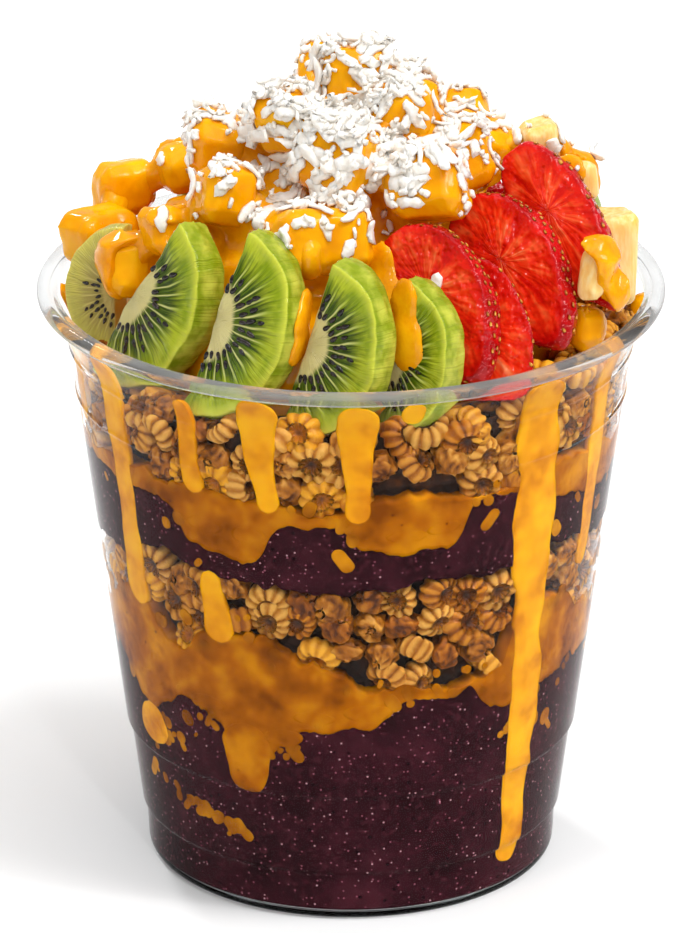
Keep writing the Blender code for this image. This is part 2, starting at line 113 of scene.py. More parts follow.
class Finish:
    """A material in the making: its Principled shader and the nodes that feed it."""

    def __init__(self, name, **values):
        self.material = bpy.data.materials.new(name)
        self.material.use_nodes = True
        self.tree = self.material.node_tree
        self.shader = self.tree.nodes["Principled BSDF"]
        for key, value in values.items():
            self.put(self.shader.inputs[key.replace("_", " ")], value)

    def put(self, socket, value):
        """Link a node's output to a socket, or set the socket to a plain value."""
        if isinstance(value, bpy.types.NodeSocket):
            self.tree.links.new(value, socket)
        else:
            socket.default_value = value

    def node(self, kind, inputs, **settings):
        """A node with its settings, and its inputs by name or number."""
        made = self.tree.nodes.new("ShaderNode" + kind)
        for key, value in settings.items():
            setattr(made, key, value)
        for key, value in inputs.items():
            self.put(made.inputs[key], value)
        return made

    def place(self):
        """Object coordinates, in metres."""
        return self.node("TexCoord", {}).outputs["Object"]

    def attribute(self, name, vector=False):
        """A value or vector stored on the mesh."""
        return self.node("Attribute", {}, attribute_name=name).outputs["Vector" if vector else "Fac"]

    def split(self, vector):
        """The three parts of a vector."""
        return self.node("SeparateXYZ", {0: vector}).outputs

    def join(self, x, y, z):
        """A vector from its three parts."""
        return self.node("CombineXYZ", {0: x, 1: y, 2: z}).outputs[0]

    def calc(self, operation, *values, clamp=False):
        """A sum or other operation on numbers."""
        made = self.node("Math", dict(enumerate(values)), operation=operation, use_clamp=clamp)
        return made.outputs[0]

    def stretch(self, vector, scale):
        """A vector scaled along each axis."""
        return self.node("VectorMath", {0: vector, 1: scale}, operation="MULTIPLY").outputs[0]

    def noise(self, vector, scale, detail=2.0, roughness=0.5, distortion=0.0):
        """Soft noise from 0 to 1."""
        made = self.node("TexNoise", {"Vector": vector, "Scale": scale, "Detail": detail,
                                      "Roughness": roughness, "Distortion": distortion})
        return made.outputs["Fac"]

    def cells(self, vector, scale, output="Distance", feature="F1"):
        """Distance to the nearest of scattered points, in cells."""
        made = self.node("TexVoronoi", {"Vector": vector, "Scale": scale}, feature=feature)
        return made.outputs[output]

    def ramp(self, value, *stops):
        """A colour ramp from (place, colour) stops."""
        made = self.node("ValToRGB", {0: value})
        band = made.color_ramp.elements
        while len(band) < len(stops):
            band.new(0.5)
        for element, (place, colour) in zip(band, stops):
            element.position = place
        for element, (place, colour) in zip(band, stops):
            element.color = colour
        return made.outputs[0]

    def fade(self, value, low, high):
        """0 where a value is at or under low, 1 where it is at or over high."""
        made = self.node("MapRange", {0: value, 1: low, 2: high, 3: 0.0, 4: 1.0},
                         interpolation_type="SMOOTHSTEP")
        return made.outputs[0]

    def mix(self, share, first, second, blend="MIX"):
        """A mix of two colours."""
        made = self.node("Mix", {0: share, 6: first, 7: second}, data_type="RGBA", blend_type=blend)
        return made.outputs[2]

    def colour(self, value):
        """Set the base colour."""
        self.put(self.shader.inputs["Base Color"], value)

    def rough(self, value):
        """Set the roughness."""
        self.put(self.shader.inputs["Roughness"], value)

    def bump(self, height, distance, strength=1.0):
        """Relief from a height, in metres."""
        made = self.node("Bump", {"Height": height, "Distance": distance, "Strength": strength})
        self.put(self.shader.inputs["Normal"], made.outputs[0])


def plastic_finish():
    """Clear, glossy, thin plastic that lets lamps through, with whitish highlight streaks painted along its lip."""
    finish = Finish("clear_plastic", Roughness=0.02, IOR=1.12)
    finish.put(finish.shader.inputs["Base Color"], (0.99, 0.992, 0.992, 1.0))
    finish.put(finish.shader.inputs["Transmission Weight"], 1.0)
    clear = finish.node("BsdfTransparent", {0: (0.97, 0.975, 0.975, 1.0)})
    # Painted highlight: near the top of the lip, streaks of diffuse and translucent shading stand in for the rim's
    # bright highlight streaks.
    highlight_streak_diffuse = finish.node("BsdfDiffuse", {0: (0.62, 0.62, 0.62, 1.0)})
    highlight_streak_translucent = finish.node("BsdfTranslucent", {0: (0.6, 0.6, 0.6, 1.0)})
    painted_highlight_streaks = finish.node("MixShader", {0: 0.5, 1: highlight_streak_diffuse.outputs[0], 2: highlight_streak_translucent.outputs[0]})
    height = finish.split(finish.place())[2]
    streak = finish.noise(finish.stretch(finish.place(), (40.0, 40.0, 400.0)), 1.0, 2.0)
    lip = finish.calc("MULTIPLY", finish.fade(height, RIM_Z - 1.6 * MM, RIM_Z - 0.9 * MM),
                      finish.calc("MULTIPLY_ADD", streak, 0.7, -0.06))
    body = finish.node("MixShader", {0: lip, 1: finish.shader.outputs[0], 2: painted_highlight_streaks.outputs[0]})
    lamp = finish.node("LightPath", {}).outputs["Is Shadow Ray"]
    both = finish.node("MixShader", {0: lamp, 1: body.outputs[0], 2: clear.outputs[0]})
    finish.put(finish.tree.nodes["Material Output"].inputs["Surface"], both.outputs[0])
    tint = finish.node("VolumeAbsorption", {0: (0.7, 0.73, 0.74, 1.0), 1: 110.0})
    finish.put(finish.tree.nodes["Material Output"].inputs["Volume"], tint.outputs[0])
    return finish.material


def acai_finish():
    """Frozen acai against the wall: dark purple, mottled, with fine pale specks."""
    finish = Finish("acai", IOR=1.4, Roughness=0.4, Specular_IOR_Level=0.03)
    place = finish.place()
    cloud = finish.noise(place, 90.0, 4.0, 0.6)
    base = finish.ramp(cloud, (0.3, srgb(32, 10, 14)), (0.55, srgb(48, 16, 23)), (0.75, srgb(72, 29, 38)))
    fine = finish.noise(place, 900.0, 3.0, 0.6)
    base = finish.mix(finish.fade(fine, 0.5, 0.75), base, srgb(78, 34, 43))
    for scale, colour, size in ((640.0, srgb(196, 140, 150), 0.12), (900.0, srgb(140, 72, 90), 0.18),
                                (430.0, srgb(20, 5, 10), 0.16)):
        near = finish.cells(place, scale)
        chosen = finish.split(finish.cells(place, scale, "Color"))[0]
        speck = finish.calc("MULTIPLY", finish.calc("LESS_THAN", near, size),
                            finish.calc("GREATER_THAN", chosen, 0.4))
        base = finish.mix(speck, base, colour)
    finish.colour(base)
    finish.bump(fine, 0.12 * MM)
    return finish.material


def sauce_finish(name, dark, usual, light, specks=0.8, sheen=0.3):
    """Smooth mango sauce of three shades, with fine dark specks."""
    finish = Finish(name, IOR=1.45, Roughness=0.1, Specular_IOR_Level=sheen)
    place = finish.place()
    cloud = finish.noise(place, 120.0, 5.0, 0.62)
    base = finish.ramp(cloud, (0.34, dark), (0.5, usual), (0.68, light))
    near = finish.cells(place, 330.0)
    chosen = finish.split(finish.cells(place, 330.0, "Color"))[1]
    speck = finish.calc("MULTIPLY", finish.calc("LESS_THAN", near, 0.085),
                        finish.calc("GREATER_THAN", chosen, specks))
    base = finish.mix(speck, base, srgb(70, 22, 6))
    finish.colour(base)
    finish.put(finish.shader.inputs["Subsurface Weight"], 0.12)
    finish.put(finish.shader.inputs["Subsurface Radius"], (3.0 * MM, 1.2 * MM, 0.3 * MM))
    finish.put(finish.shader.inputs["Subsurface Scale"], 1.0)
    finish.bump(finish.noise(place, 160.0, 3.0), 0.5 * MM)
    return finish.material


def granola_finish():
    """Toasted puffs: pale ribs, with painted shade that darkens the grooves and the dimple in the middle."""
    finish = Finish("granola", IOR=1.45, Roughness=0.36, Specular_IOR_Level=0.25)
    place = finish.place()
    # Painted shade from the puffs' shapes: dark in grooves, dimples and crevices, pale on the ribs.
    shade = finish.attribute("shade")
    tone = finish.attribute("tone")
    grain = finish.noise(place, 1100.0, 3.0, 0.6)
    patch = finish.noise(place, 260.0, 2.0)
    lit = finish.calc("ADD", shade, finish.calc("MULTIPLY", finish.calc("SUBTRACT", grain, 0.5), 0.35))
    toasted = finish.ramp(lit, (0.0, srgb(24, 8, 2)), (0.3, srgb(96, 46, 5)), (0.6, srgb(174, 104, 18)),
                          (0.95, srgb(222, 164, 74)))
    deep = finish.ramp(lit, (0.0, srgb(20, 6, 1)), (0.35, srgb(80, 34, 3)), (0.7, srgb(156, 82, 8)),
                       (1.0, srgb(198, 124, 24)))
    base = finish.mix(finish.fade(finish.calc("ADD", tone, finish.calc("MULTIPLY", patch, 0.3)), 0.35, 0.9),
                      deep, toasted)
    sauced = finish.ramp(lit, (0.0, srgb(112, 52, 4)), (0.4, srgb(196, 112, 5)), (0.9, srgb(240, 170, 30)))
    finish.colour(finish.mix(finish.attribute("wet"), base, sauced))
    finish.bump(grain, 0.25 * MM)
    return finish.material


def crumb_and_shade_finish():
    """The crumbly core between the puffs, painted very dark as the shade in the gaps between them."""
    finish = Finish("granola_crumb", IOR=1.4, Roughness=0.7)
    place = finish.place()
    lump = finish.cells(place, 420.0)
    # Painted shade: these browns are pushed nearly black, for the deep gaps seen between the puffs.
    base = finish.ramp(finish.noise(place, 300.0, 4.0, 0.65), (0.35, srgb(20, 8, 4)), (0.55, srgb(52, 24, 10)),
                       (0.75, srgb(110, 60, 18)))
    finish.colour(base)
    finish.bump(lump, 1.2 * MM)
    return finish.material


def kiwi_finish():
    """Kiwi flesh, from its cream core through rays and dark wedges to the green edge."""
    finish = Finish("kiwi", IOR=1.42, Roughness=0.14, Specular_IOR_Level=0.3)
    at = finish.attribute("at", vector=True)
    x, y, z = finish.split(at)
    across = finish.calc("DIVIDE", x, KIWI_DEEP)
    along = finish.calc("DIVIDE", z, KIWI_HIGH)
    reach = finish.calc("SQRT", finish.calc("ADD", finish.calc("MULTIPLY", across, across),
                                            finish.calc("MULTIPLY", along, along)))
    angle = finish.calc("ARCTAN2", along, across)
    wave = finish.noise(finish.join(finish.calc("MULTIPLY", angle, 3.0), reach, 0.0), 1.0, 1.0)
    fine = finish.noise(finish.join(finish.calc("MULTIPLY", angle, 26.0), finish.calc("MULTIPLY", reach, 2.5), 4.0),
                        1.0, 2.0, 0.6)
    blotch = finish.noise(finish.stretch(at, (0.22, 0.22, 0.22)), 1.0, 3.0)
    swing = finish.calc("MULTIPLY_ADD", angle, 1.0 * KIWI_RAYS, finish.calc("MULTIPLY_ADD", wave, 1.6, -0.8))
    ray = finish.fade(finish.calc("ABSOLUTE", finish.calc("SINE", swing)), 0.42, 0.08)
    core_x = finish.calc("DIVIDE", x, 3.9)
    core_z = finish.calc("DIVIDE", z, 7.2)
    core = finish.calc("SQRT", finish.calc("ADD", finish.calc("MULTIPLY", core_x, core_x),
                                           finish.calc("MULTIPLY", core_z, core_z)))
    core = finish.calc("ADD", core, finish.calc("MULTIPLY", finish.calc("SUBTRACT", fine, 0.5), 0.35))
    dark = finish.mix(finish.fade(fine, 0.35, 0.7), srgb(46, 66, 2), srgb(92, 116, 10))
    pale = finish.mix(finish.fade(reach, 0.4, 0.85), srgb(206, 204, 128), srgb(150, 170, 44))
    inner = finish.mix(ray, dark, pale)
    outer = finish.mix(finish.fade(finish.calc("ADD", blotch, finish.calc("MULTIPLY", fine, 0.4)), 0.5, 0.9),
                       srgb(126, 148, 12), srgb(178, 188, 44))
    edge = finish.calc("ADD", reach, finish.calc("MULTIPLY", finish.calc("SUBTRACT", fine, 0.5), 0.3))
    flesh = finish.mix(finish.fade(edge, 0.5, 0.86), inner, outer)
    flesh = finish.mix(finish.fade(reach, 0.82, 0.97), flesh, srgb(198, 202, 66))
    flesh = finish.mix(finish.fade(core, 1.18, 0.92), flesh, srgb(216, 204, 138))
    side = finish.calc("MULTIPLY", finish.fade(finish.calc("ABSOLUTE", y), 3.45, 3.1), finish.fade(reach, 0.8, 0.95))
    peeled = finish.mix(finish.fade(blotch, 0.35, 0.7), srgb(132, 150, 24), srgb(196, 198, 74))
    flesh = finish.mix(side, flesh, peeled)
    finish.colour(finish.mix(finish.attribute("pale"), flesh, srgb(206, 184, 104)))
    finish.put(finish.shader.inputs["Subsurface Weight"], 0.25)
    finish.put(finish.shader.inputs["Subsurface Radius"], (1.6 * MM, 1.8 * MM, 0.5 * MM))
    finish.put(finish.shader.inputs["Subsurface Scale"], 1.0)
    finish.bump(finish.calc("ADD", fine, finish.calc("MULTIPLY", blotch, 0.6)), 0.35 * MM)
    return finish.material


def seed_finish(name, dark, light):
    """A small glossy seed."""
    finish = Finish(name, IOR=1.5, Roughness=0.22)
    finish.colour(finish.mix(finish.fade(finish.noise(finish.place(), 500.0), 0.4, 0.65), dark, light))
    return finish.material


def berry_finish():
    """Strawberry: pale streaks that run out from the middle, red flesh, a deep red skin with pinkish highlights
    painted along its wrinkles.
    """
    finish = Finish("strawberry", IOR=1.45, Roughness=0.12, Specular_IOR_Level=0.3)
    at = finish.attribute("at", vector=True)
    deep = finish.attribute("deep")
    x, y, z = finish.split(at)
    angle = finish.calc("ARCTAN2", finish.calc("SUBTRACT", z, 3.0), finish.calc("MULTIPLY", x, 1.35))
    rays = finish.noise(finish.join(finish.calc("COSINE", angle), finish.calc("SINE", angle),
                                    finish.calc("MULTIPLY", deep, 0.04)), 4.6, 2.0, 0.55)
    blotch = finish.noise(finish.stretch(at, (0.16, 0.16, 0.16)), 1.0, 3.0)
    flesh = finish.ramp(finish.calc("ADD", rays, finish.calc("MULTIPLY", finish.calc("SUBTRACT", blotch, 0.5), 0.5)),
                        (0.34, srgb(206, 20, 8)), (0.5, srgb(234, 46, 14)), (0.64, srgb(243, 92, 44)),
                        (0.82, srgb(246, 152, 100)))
    red = finish.mix(finish.fade(blotch, 0.3, 0.7), srgb(194, 12, 8), srgb(226, 30, 12))
    flesh = finish.mix(finish.fade(finish.calc("ADD", deep, finish.calc("MULTIPLY", rays, 3.0)), 5.0, 1.9), flesh, red)
    skin = finish.mix(finish.fade(blotch, 0.35, 0.75), srgb(168, 6, 12), srgb(214, 18, 22))
    wrinkle = finish.noise(finish.stretch(at, (0.5, 0.5, 0.9)), 1.0, 4.0, 0.6, 2.5)
    # Painted highlight: pinkish patches along the skin's wrinkles, for the sheen of its glaze.
    painted_glaze_highlight = finish.calc("MULTIPLY", finish.fade(wrinkle, 0.58, 0.66), 0.55)
    skin = finish.mix(painted_glaze_highlight, skin, srgb(240, 128, 132))
    base = finish.mix(finish.fade(deep, 0.75, 0.25), flesh, skin)
    finish.colour(base)
    finish.put(finish.shader.inputs["Subsurface Weight"], 0.2)
    finish.put(finish.shader.inputs["Subsurface Radius"], (2.6 * MM, 0.5 * MM, 0.4 * MM))
    finish.put(finish.shader.inputs["Subsurface Scale"], 1.0)
    wet = finish.cells(finish.stretch(at, (0.9, 0.9, 0.9)), 1.0, feature="SMOOTH_F1")
    finish.bump(finish.calc("ADD", finish.calc("MULTIPLY", rays, 0.8), wet), 0.35 * MM)
    return finish.material


def mango_finish():
    """Ripe mango under a coat of sauce."""
    finish = Finish("mango", IOR=1.45, Roughness=0.1, Specular_IOR_Level=0.2)
    place = finish.place()
    cloud = finish.noise(place, 90.0, 3.0, 0.55)
    base = finish.ramp(cloud, (0.28, srgb(228, 142, 2)), (0.5, srgb(243, 164, 3)), (0.72, srgb(252, 186, 12)))
    finish.colour(base)
    finish.put(finish.shader.inputs["Subsurface Weight"], 0.2)
    finish.put(finish.shader.inputs["Subsurface Radius"], (3.0 * MM, 1.4 * MM, 0.3 * MM))
    finish.put(finish.shader.inputs["Subsurface Scale"], 1.0)
    finish.bump(finish.noise(finish.stretch(place, (1.0, 1.0, 0.5)), 240.0, 3.0), 0.5 * MM)
    return finish.material


def pineapple_finish():
    """Pale fruit with fine fibres."""
    finish = Finish("pineapple", IOR=1.42, Roughness=0.16, Specular_IOR_Level=0.3)
    place = finish.place()
    fibre = finish.noise(finish.stretch(place, (1.0, 1.0, 0.18)), 900.0, 3.0)
    cloud = finish.noise(place, 130.0, 2.0)
    base = finish.mix(finish.fade(fibre, 0.35, 0.7), srgb(250, 200, 112), srgb(255, 224, 156))
    base = finish.mix(finish.calc("MULTIPLY", finish.fade(cloud, 0.5, 0.8), 0.6), base, srgb(250, 186, 50))
    finish.colour(base)
    finish.put(finish.shader.inputs["Subsurface Weight"], 0.2)
    finish.put(finish.shader.inputs["Subsurface Radius"], (2.5 * MM, 1.8 * MM, 0.7 * MM))
    finish.put(finish.shader.inputs["Subsurface Scale"], 1.0)
    finish.bump(finish.calc("ADD", finish.calc("MULTIPLY", fibre, 0.4), cloud), 0.5 * MM)
    return finish.material


def coconut_finish():
    """Dry, white coconut."""
    finish = Finish("coconut", IOR=1.4, Roughness=0.55)
    grain = finish.noise(finish.place(), 700.0, 3.0)
    finish.colour(finish.mix(finish.fade(grain, 0.35, 0.7), srgb(248, 240, 228), srgb(255, 254, 250)))
    finish.put(finish.shader.inputs["Subsurface Weight"], 0.3)
    finish.put(finish.shader.inputs["Subsurface Radius"], (1.2 * MM, 1.1 * MM, 1.0 * MM))
    finish.put(finish.shader.inputs["Subsurface Scale"], 1.0)
    finish.bump(grain, 0.3 * MM)
    return finish.material


# ---------------------------------------------------------------- meshes

def piece(name, mesh, finish, slot, *nodes, smooth=True):
    """A finished piece that rides with the cup and stands for CAD nodes; its slot argument is not used."""
    made = bpy.data.objects.new(name, mesh)
    bpy.context.scene.collection.objects.link(made)
    mesh.materials.clear()
    mesh.materials.append(finish)
    mesh.polygons.foreach_set("use_smooth", np.full(len(mesh.polygons), smooth))
    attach(made, "root")
    if nodes:
        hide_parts(*nodes)
    return made


def mesh_of(name, points, faces):
    """A mesh from arrays of points and faces."""
    made = bpy.data.meshes.new(name)
    made.from_pydata(np.asarray(points).tolist(), [], np.asarray(faces).tolist() if len(faces) else [])
    made.validate()
    return made


def store(mesh, name, values):
    """Keep a number or a vector for each point of a mesh."""
    values = np.asarray(values, np.float32)
    kind, field = ("FLOAT_VECTOR", "vector") if values.ndim == 2 else ("FLOAT", "value")
    layer = mesh.attributes.new(name, kind, "POINT")
    layer.data.foreach_set(field, values.ravel())


def points_of(mesh):
    """The points of a mesh as an array."""
    found = np.empty(len(mesh.vertices) * 3)
    mesh.vertices.foreach_get("co", found)
    return found.reshape(-1, 3)


def move_points(mesh, points):
    """Set the points of a mesh."""
    mesh.vertices.foreach_set("co", np.asarray(points, float).ravel())
    mesh.update()


def through(mesh, *modifiers):
    """A mesh after modifiers, each given as its kind and its settings."""
    holder = bpy.data.objects.new("holder", mesh)
    bpy.context.scene.collection.objects.link(holder)
    for kind, settings in modifiers:
        added = holder.modifiers.new(kind, kind)
        for key, value in settings.items():
            setattr(added, key, value)
    bpy.context.view_layer.update()
    made = bpy.data.meshes.new_from_object(holder.evaluated_get(bpy.context.evaluated_depsgraph_get()))
    bpy.data.objects.remove(holder)
    return made


def tube_faces(rows, columns, wrap=True):
    """Faces of a grid of rows and columns, which closes on itself along its columns."""
    row, column = np.meshgrid(np.arange(rows - 1), np.arange(columns if wrap else columns - 1), indexing="ij")
    following = (column + 1) % columns
    return np.stack([row * columns + column, row * columns + following, (row + 1) * columns + following,
                     (row + 1) * columns + column], axis=-1).reshape(-1, 4)


def lathe(name, profile, steps=CUP_STEPS):
    """A closed mesh of revolution, from a profile whose two ends lie on the axis."""
    turns = np.arange(steps) * math.tau / steps
    rings = profile[1:-1]
    points = [(radius * math.cos(turn), radius * math.sin(turn), height) for radius, height in rings for turn in turns]
    faces = tube_faces(len(rings), steps).tolist()
    first, last = len(points), len(points) + 1
    points += [(0.0, 0.0, profile[0][1]), (0.0, 0.0, profile[-1][1])]
    for step in range(steps):
        following = (step + 1) % steps
        faces.append((first, following, step))
        end = (len(rings) - 1) * steps
        faces.append((last, end + step, end + following))
    made = bpy.data.meshes.new(name)
    made.from_pydata(points, [], faces)
    return made


def outward(mesh):
    """Turn a closed mesh's faces outwards."""
    shape = bmesh.new()
    shape.from_mesh(mesh)
    bmesh.ops.recalc_face_normals(shape, faces=shape.faces)
    shape.to_mesh(mesh)
    shape.free()
    return mesh


def smooth_step(value, low, high):
    """0 under low, 1 over high, smooth between."""
    share = np.clip((value - low) / (high - low), 0.0, 1.0)
    return share * share * (3.0 - 2.0 * share)


def outer_radius(height):
    """Outer radius of the cup's wall, with its steps rounded."""
    height = np.asarray(height, float)
    upper = RING_R - TAPER * (RING_LOW - height)
    upper = upper - STEP_OUT * (1.0 - smooth_step(height, STEP_HIGH - 0.5 * MM, STEP_HIGH + 0.4 * MM))
    lower = FOOT_R + 0.05 * (height - 0.4 * STEP_LOW)
    radius = lower + (upper - lower) * smooth_step(height, STEP_LOW - 0.5 * MM, STEP_LOW + 0.4 * MM)
    above = np.maximum(0.0, height - RING_HIGH)
    return radius + 0.16 * above + 18.0 * above ** 2


def inner_radius(height):
    """Inner radius of the cup's wall."""
    return outer_radius(height) - WALL


def rings_out(height):
    """How far the two moulded stacking lines stand out from the wall."""
    return sum(RING_OUT * math.exp(-((height - level) / (0.45 * MM)) ** 2) for level in (RING_LOW, RING_HIGH))


def cup_mesh():
    """The whole cup: inside, rolled lip, outside and pushed-up base."""
    heights = np.unique(np.round(np.concatenate([
        np.arange(3.0, 110.0, 3.0), np.arange(STEP_LOW / MM - 1.0, STEP_LOW / MM + 1.2, 0.2),
        np.arange(STEP_HIGH / MM - 1.0, STEP_HIGH / MM + 1.2, 0.2),
        np.arange(RING_LOW / MM - 1.2, RING_LOW / MM + 1.3, 0.2),
        np.arange(RING_HIGH / MM - 1.2, RING_HIGH / MM + 1.3, 0.2), np.arange(103.0, 110.0, 1.0)]), 3)) * MM
    corner = 2.6 * MM
    inside = [(0.0, FLOOR + PUSH_UP), (PUSH_R - 0.5 * MM, FLOOR + PUSH_UP), (PUSH_R + 0.6 * MM, FLOOR + 0.8 * PUSH_UP),
              (PUSH_R + 1.8 * MM, FLOOR + 0.2 * PUSH_UP), (PUSH_R + 2.6 * MM, FLOOR)]
    foot_in = FOOT_R - WALL - corner
    inside += [(foot_in + corner * math.sin(turn), FLOOR + corner * (1.0 - math.cos(turn)))
               for turn in np.radians(np.arange(0, 81, 10))]
    inside += [(float(inner_radius(height)), height) for height in heights if height > 3.6 * MM]
    bead = RIM_R - LIP
    lip = [(bead - 2.4 * MM, RIM_Z + 0.55 * MM), (bead - 1.6 * MM, RIM_Z + 0.75 * MM)]
    lip += [(bead + LIP * math.cos(turn), RIM_Z + LIP * math.sin(turn))
            for turn in np.radians(np.arange(135, -131, -15))]
    outside = [(float(outer_radius(height)) + rings_out(height), height) for height in heights[::-1]]
    round_r = 2.4 * MM
    outside = [point for point in outside if point[1] > round_r]
    foot = FOOT_R - 0.08 * MM
    outside += [(foot - round_r + round_r * math.cos(turn), round_r - round_r * math.sin(turn))
                for turn in np.radians(np.arange(5, 91, 12))]
    outside += [(PUSH_R + 2.2 * MM, 0.0), (PUSH_R + 1.4 * MM, 0.15 * MM), (PUSH_R + 0.3 * MM, 0.8 * PUSH_UP),
                (PUSH_R - 0.7 * MM, PUSH_UP), (0.0, PUSH_UP)]
    return outward(lathe("cup", inside + lip + outside))


# ---------------------------------------------------------------- layers behind the wall

SKIN = 0.2 * MM       # how far a layer reaches into the wall, so that no air lies between
COLUMNS = 720

# Heights in mm at the wall by azimuth: where each layer ends.
ACAI_LOW_TOP = ((-180, 42), (-160, 38), (-148, 45), (-138, 46), (-126, 36), (-118, 30), (-110, 38), (-96, 44),
                (-82, 47), (-72, 45), (-66, 41), (-62, 38), (-56, 37.5), (-51, 40), (-46, 43), (-39, 41), (-33, 39),
                (-30, 35), (-26, 33), (-21, 34), (-17, 37), (-12, 40), (-5, 41),
                (0, 42), (4, 42), (8, 43), (11, 45), (14, 47), (28, 47.5), (33, 44.5), (38, 43.5), (46, 43),
                (54, 43.5), (62, 46), (70, 45), (80, 46), (92, 41), (104, 35), (112, 36), (120, 44), (134, 47),
                (150, 46), (164, 40))
SAUCE_LOW_TOP = ((-180, 54), (-165, 50), (-150, 52), (-135, 57), (-120, 53), (-105, 50), (-90, 53), (-75, 56),
                 (-60, 62), (-50, 57), (-43, 53), (-37, 58), (-28, 60), (-18, 57), (-9, 55), (-2, 52), (6, 49.6),
                 (20, 49), (32, 49), (38, 52), (42, 60), (50, 62), (60, 60), (68, 55), (80, 54), (95, 52),
                 (110, 57), (126, 55), (142, 51), (160, 52))
GRANOLA_LOW_TOP = ((-180, 74), (-160, 71), (-140, 73), (-118, 70), (-100, 72), (-80, 68), (-62, 69), (-54, 71.5),
                   (-46, 74), (-38, 72), (-18, 71), (-2, 70), (12, 71.5), (25, 72.5), (33, 71), (40, 71.5),
                   (48, 72.5), (56, 73), (63, 71), (75, 70), (95, 73), (115, 71), (140, 70), (160, 73))
ACAI_HIGH_TOP = ((-180, 84), (-166, 80), (-150, 78), (-136, 85), (-118, 86), (-104, 82), (-90, 85), (-75, 85.5),
                 (-60, 84), (-46, 84.5), (-41.5, 82), (-38, 77), (-28, 76), (-20.5, 76.5), (-17.5, 81), (-15, 83.5),
                 (-8, 84), (-2, 83.5), (3, 79.5), (10, 78.5), (20, 79), (24, 82), (27, 87), (36, 87.6), (43, 85),
                 (52, 83), (60, 82), (66, 80), (75, 80.5), (88, 84), (102, 78), (116, 80), (128, 86), (146, 85),
                 (164, 84))
SAUCE_HIGH_TOP = ((-180, 89), (-150, 88), (-120, 89.5), (-95, 88), (-75, 87.5), (-60, 88.5), (-45, 88), (-30, 88.5),
                  (-17, 87.5), (-8, 86.6), (0, 87.5), (8, 89.5), (20, 90), (27, 88.2), (35, 88.6), (42, 88.5),
                  (52, 90), (62, 89.5), (75, 88), (100, 89), (125, 90), (150, 88))
GRANOLA_HIGH_TOP = ((-180, 101), (-140, 103), (-100, 101), (-60, 100), (-30, 101), (0, 101), (30, 102.5),
                    (45, 104), (70, 104), (100, 103), (140, 101))


def level(table, azimuths):
    """Heights in metres round the cup, along a smooth line through a table's (azimuth, mm) rows."""
    rows = list(table)
    rows = [(rows[-1][0] - 360.0, rows[-1][1])] + rows + [(rows[0][0] + 360.0, rows[0][1]),
                                                         (rows[1][0] + 360.0, rows[1][1])]
    places, heights = np.array(rows, float).T
    rise = np.diff(heights) / np.diff(places)
    before, after = rise[:-1], rise[1:]
    same = before * after > 0.0
    slope = np.where(same, 2.0 * before * after / np.where(same, before + after, 1.0), 0.0)
    slope = np.concatenate([[slope[-2]], slope, [slope[1]]])
    azimuths = (np.asarray(azimuths, float) + 180.0) % 360.0 - 180.0
    index = np.clip(np.searchsorted(places, azimuths, side="right") - 1, 0, len(places) - 2)
    step = places[index + 1] - places[index]
    share = (azimuths - places[index]) / step
    eased = share * share * (3.0 - 2.0 * share)
    bend = share * (1.0 - share) * ((1.0 - share) * slope[index] - share * slope[index + 1]) * step
    return (heights[index] + (heights[index + 1] - heights[index]) * eased + bend) * MM


def ragged(azimuths, seed, size):
    """Uneven steps of a boundary round the cup, in metres."""
    rough = []
    for azimuth in azimuths:
        turn = math.radians(azimuth)
        spot = Vector((math.cos(turn), math.sin(turn), 0.0))
        rough.append(1.5 * noise.noise(spot * 7.0 + Vector((0, 0, seed)))
                     + 0.8 * noise.noise(spot * 19.0 + Vector((0, 0, seed + 7.0)))
                     + 0.3 * noise.noise(spot * 55.0 + Vector((0, 0, seed + 13.0))))
    return size * np.array(rough)


def wall_spot(azimuths, heights, into):
    """Points near the wall's inner face, reaching `into` it."""
    turns = np.radians(azimuths)
    radii = inner_radius(heights) + into
    return np.stack([radii * np.sin(turns), -radii * np.cos(turns), heights], axis=-1)


def band(name, low, high, rows, into=SKIN):
    """A layer that fills the cup between two heights given round the wall, closed above and below."""
    azimuths = np.arange(COLUMNS) * 360.0 / COLUMNS - 180.0
    high = np.maximum(high, low + 0.05 * MM)
    levels = [low + (high - low) * share for share in np.linspace(0.0, 1.0, rows)]
    rings = [wall_spot(azimuths, levels[0], -3.0 * MM)]
    rings += [wall_spot(azimuths, heights, into) for heights in levels]
    rings += [wall_spot(azimuths, levels[-1], -3.0 * MM)]
    points = np.concatenate(rings)
    faces = tube_faces(len(rings), COLUMNS).tolist()
    ends = [(0.0, 0.0, float(low.mean())), (0.0, 0.0, float(high.mean()))]
    bottom, top = len(points), len(points) + 1
    last = (len(rings) - 1) * COLUMNS
    for column in range(COLUMNS):
        following = (column + 1) % COLUMNS
        faces.append((bottom, following, column))
        faces.append((top, last + column, last + following))
    made = bpy.data.meshes.new(name)
    made.from_pydata(points.tolist() + ends, [], faces)
    return outward(made)


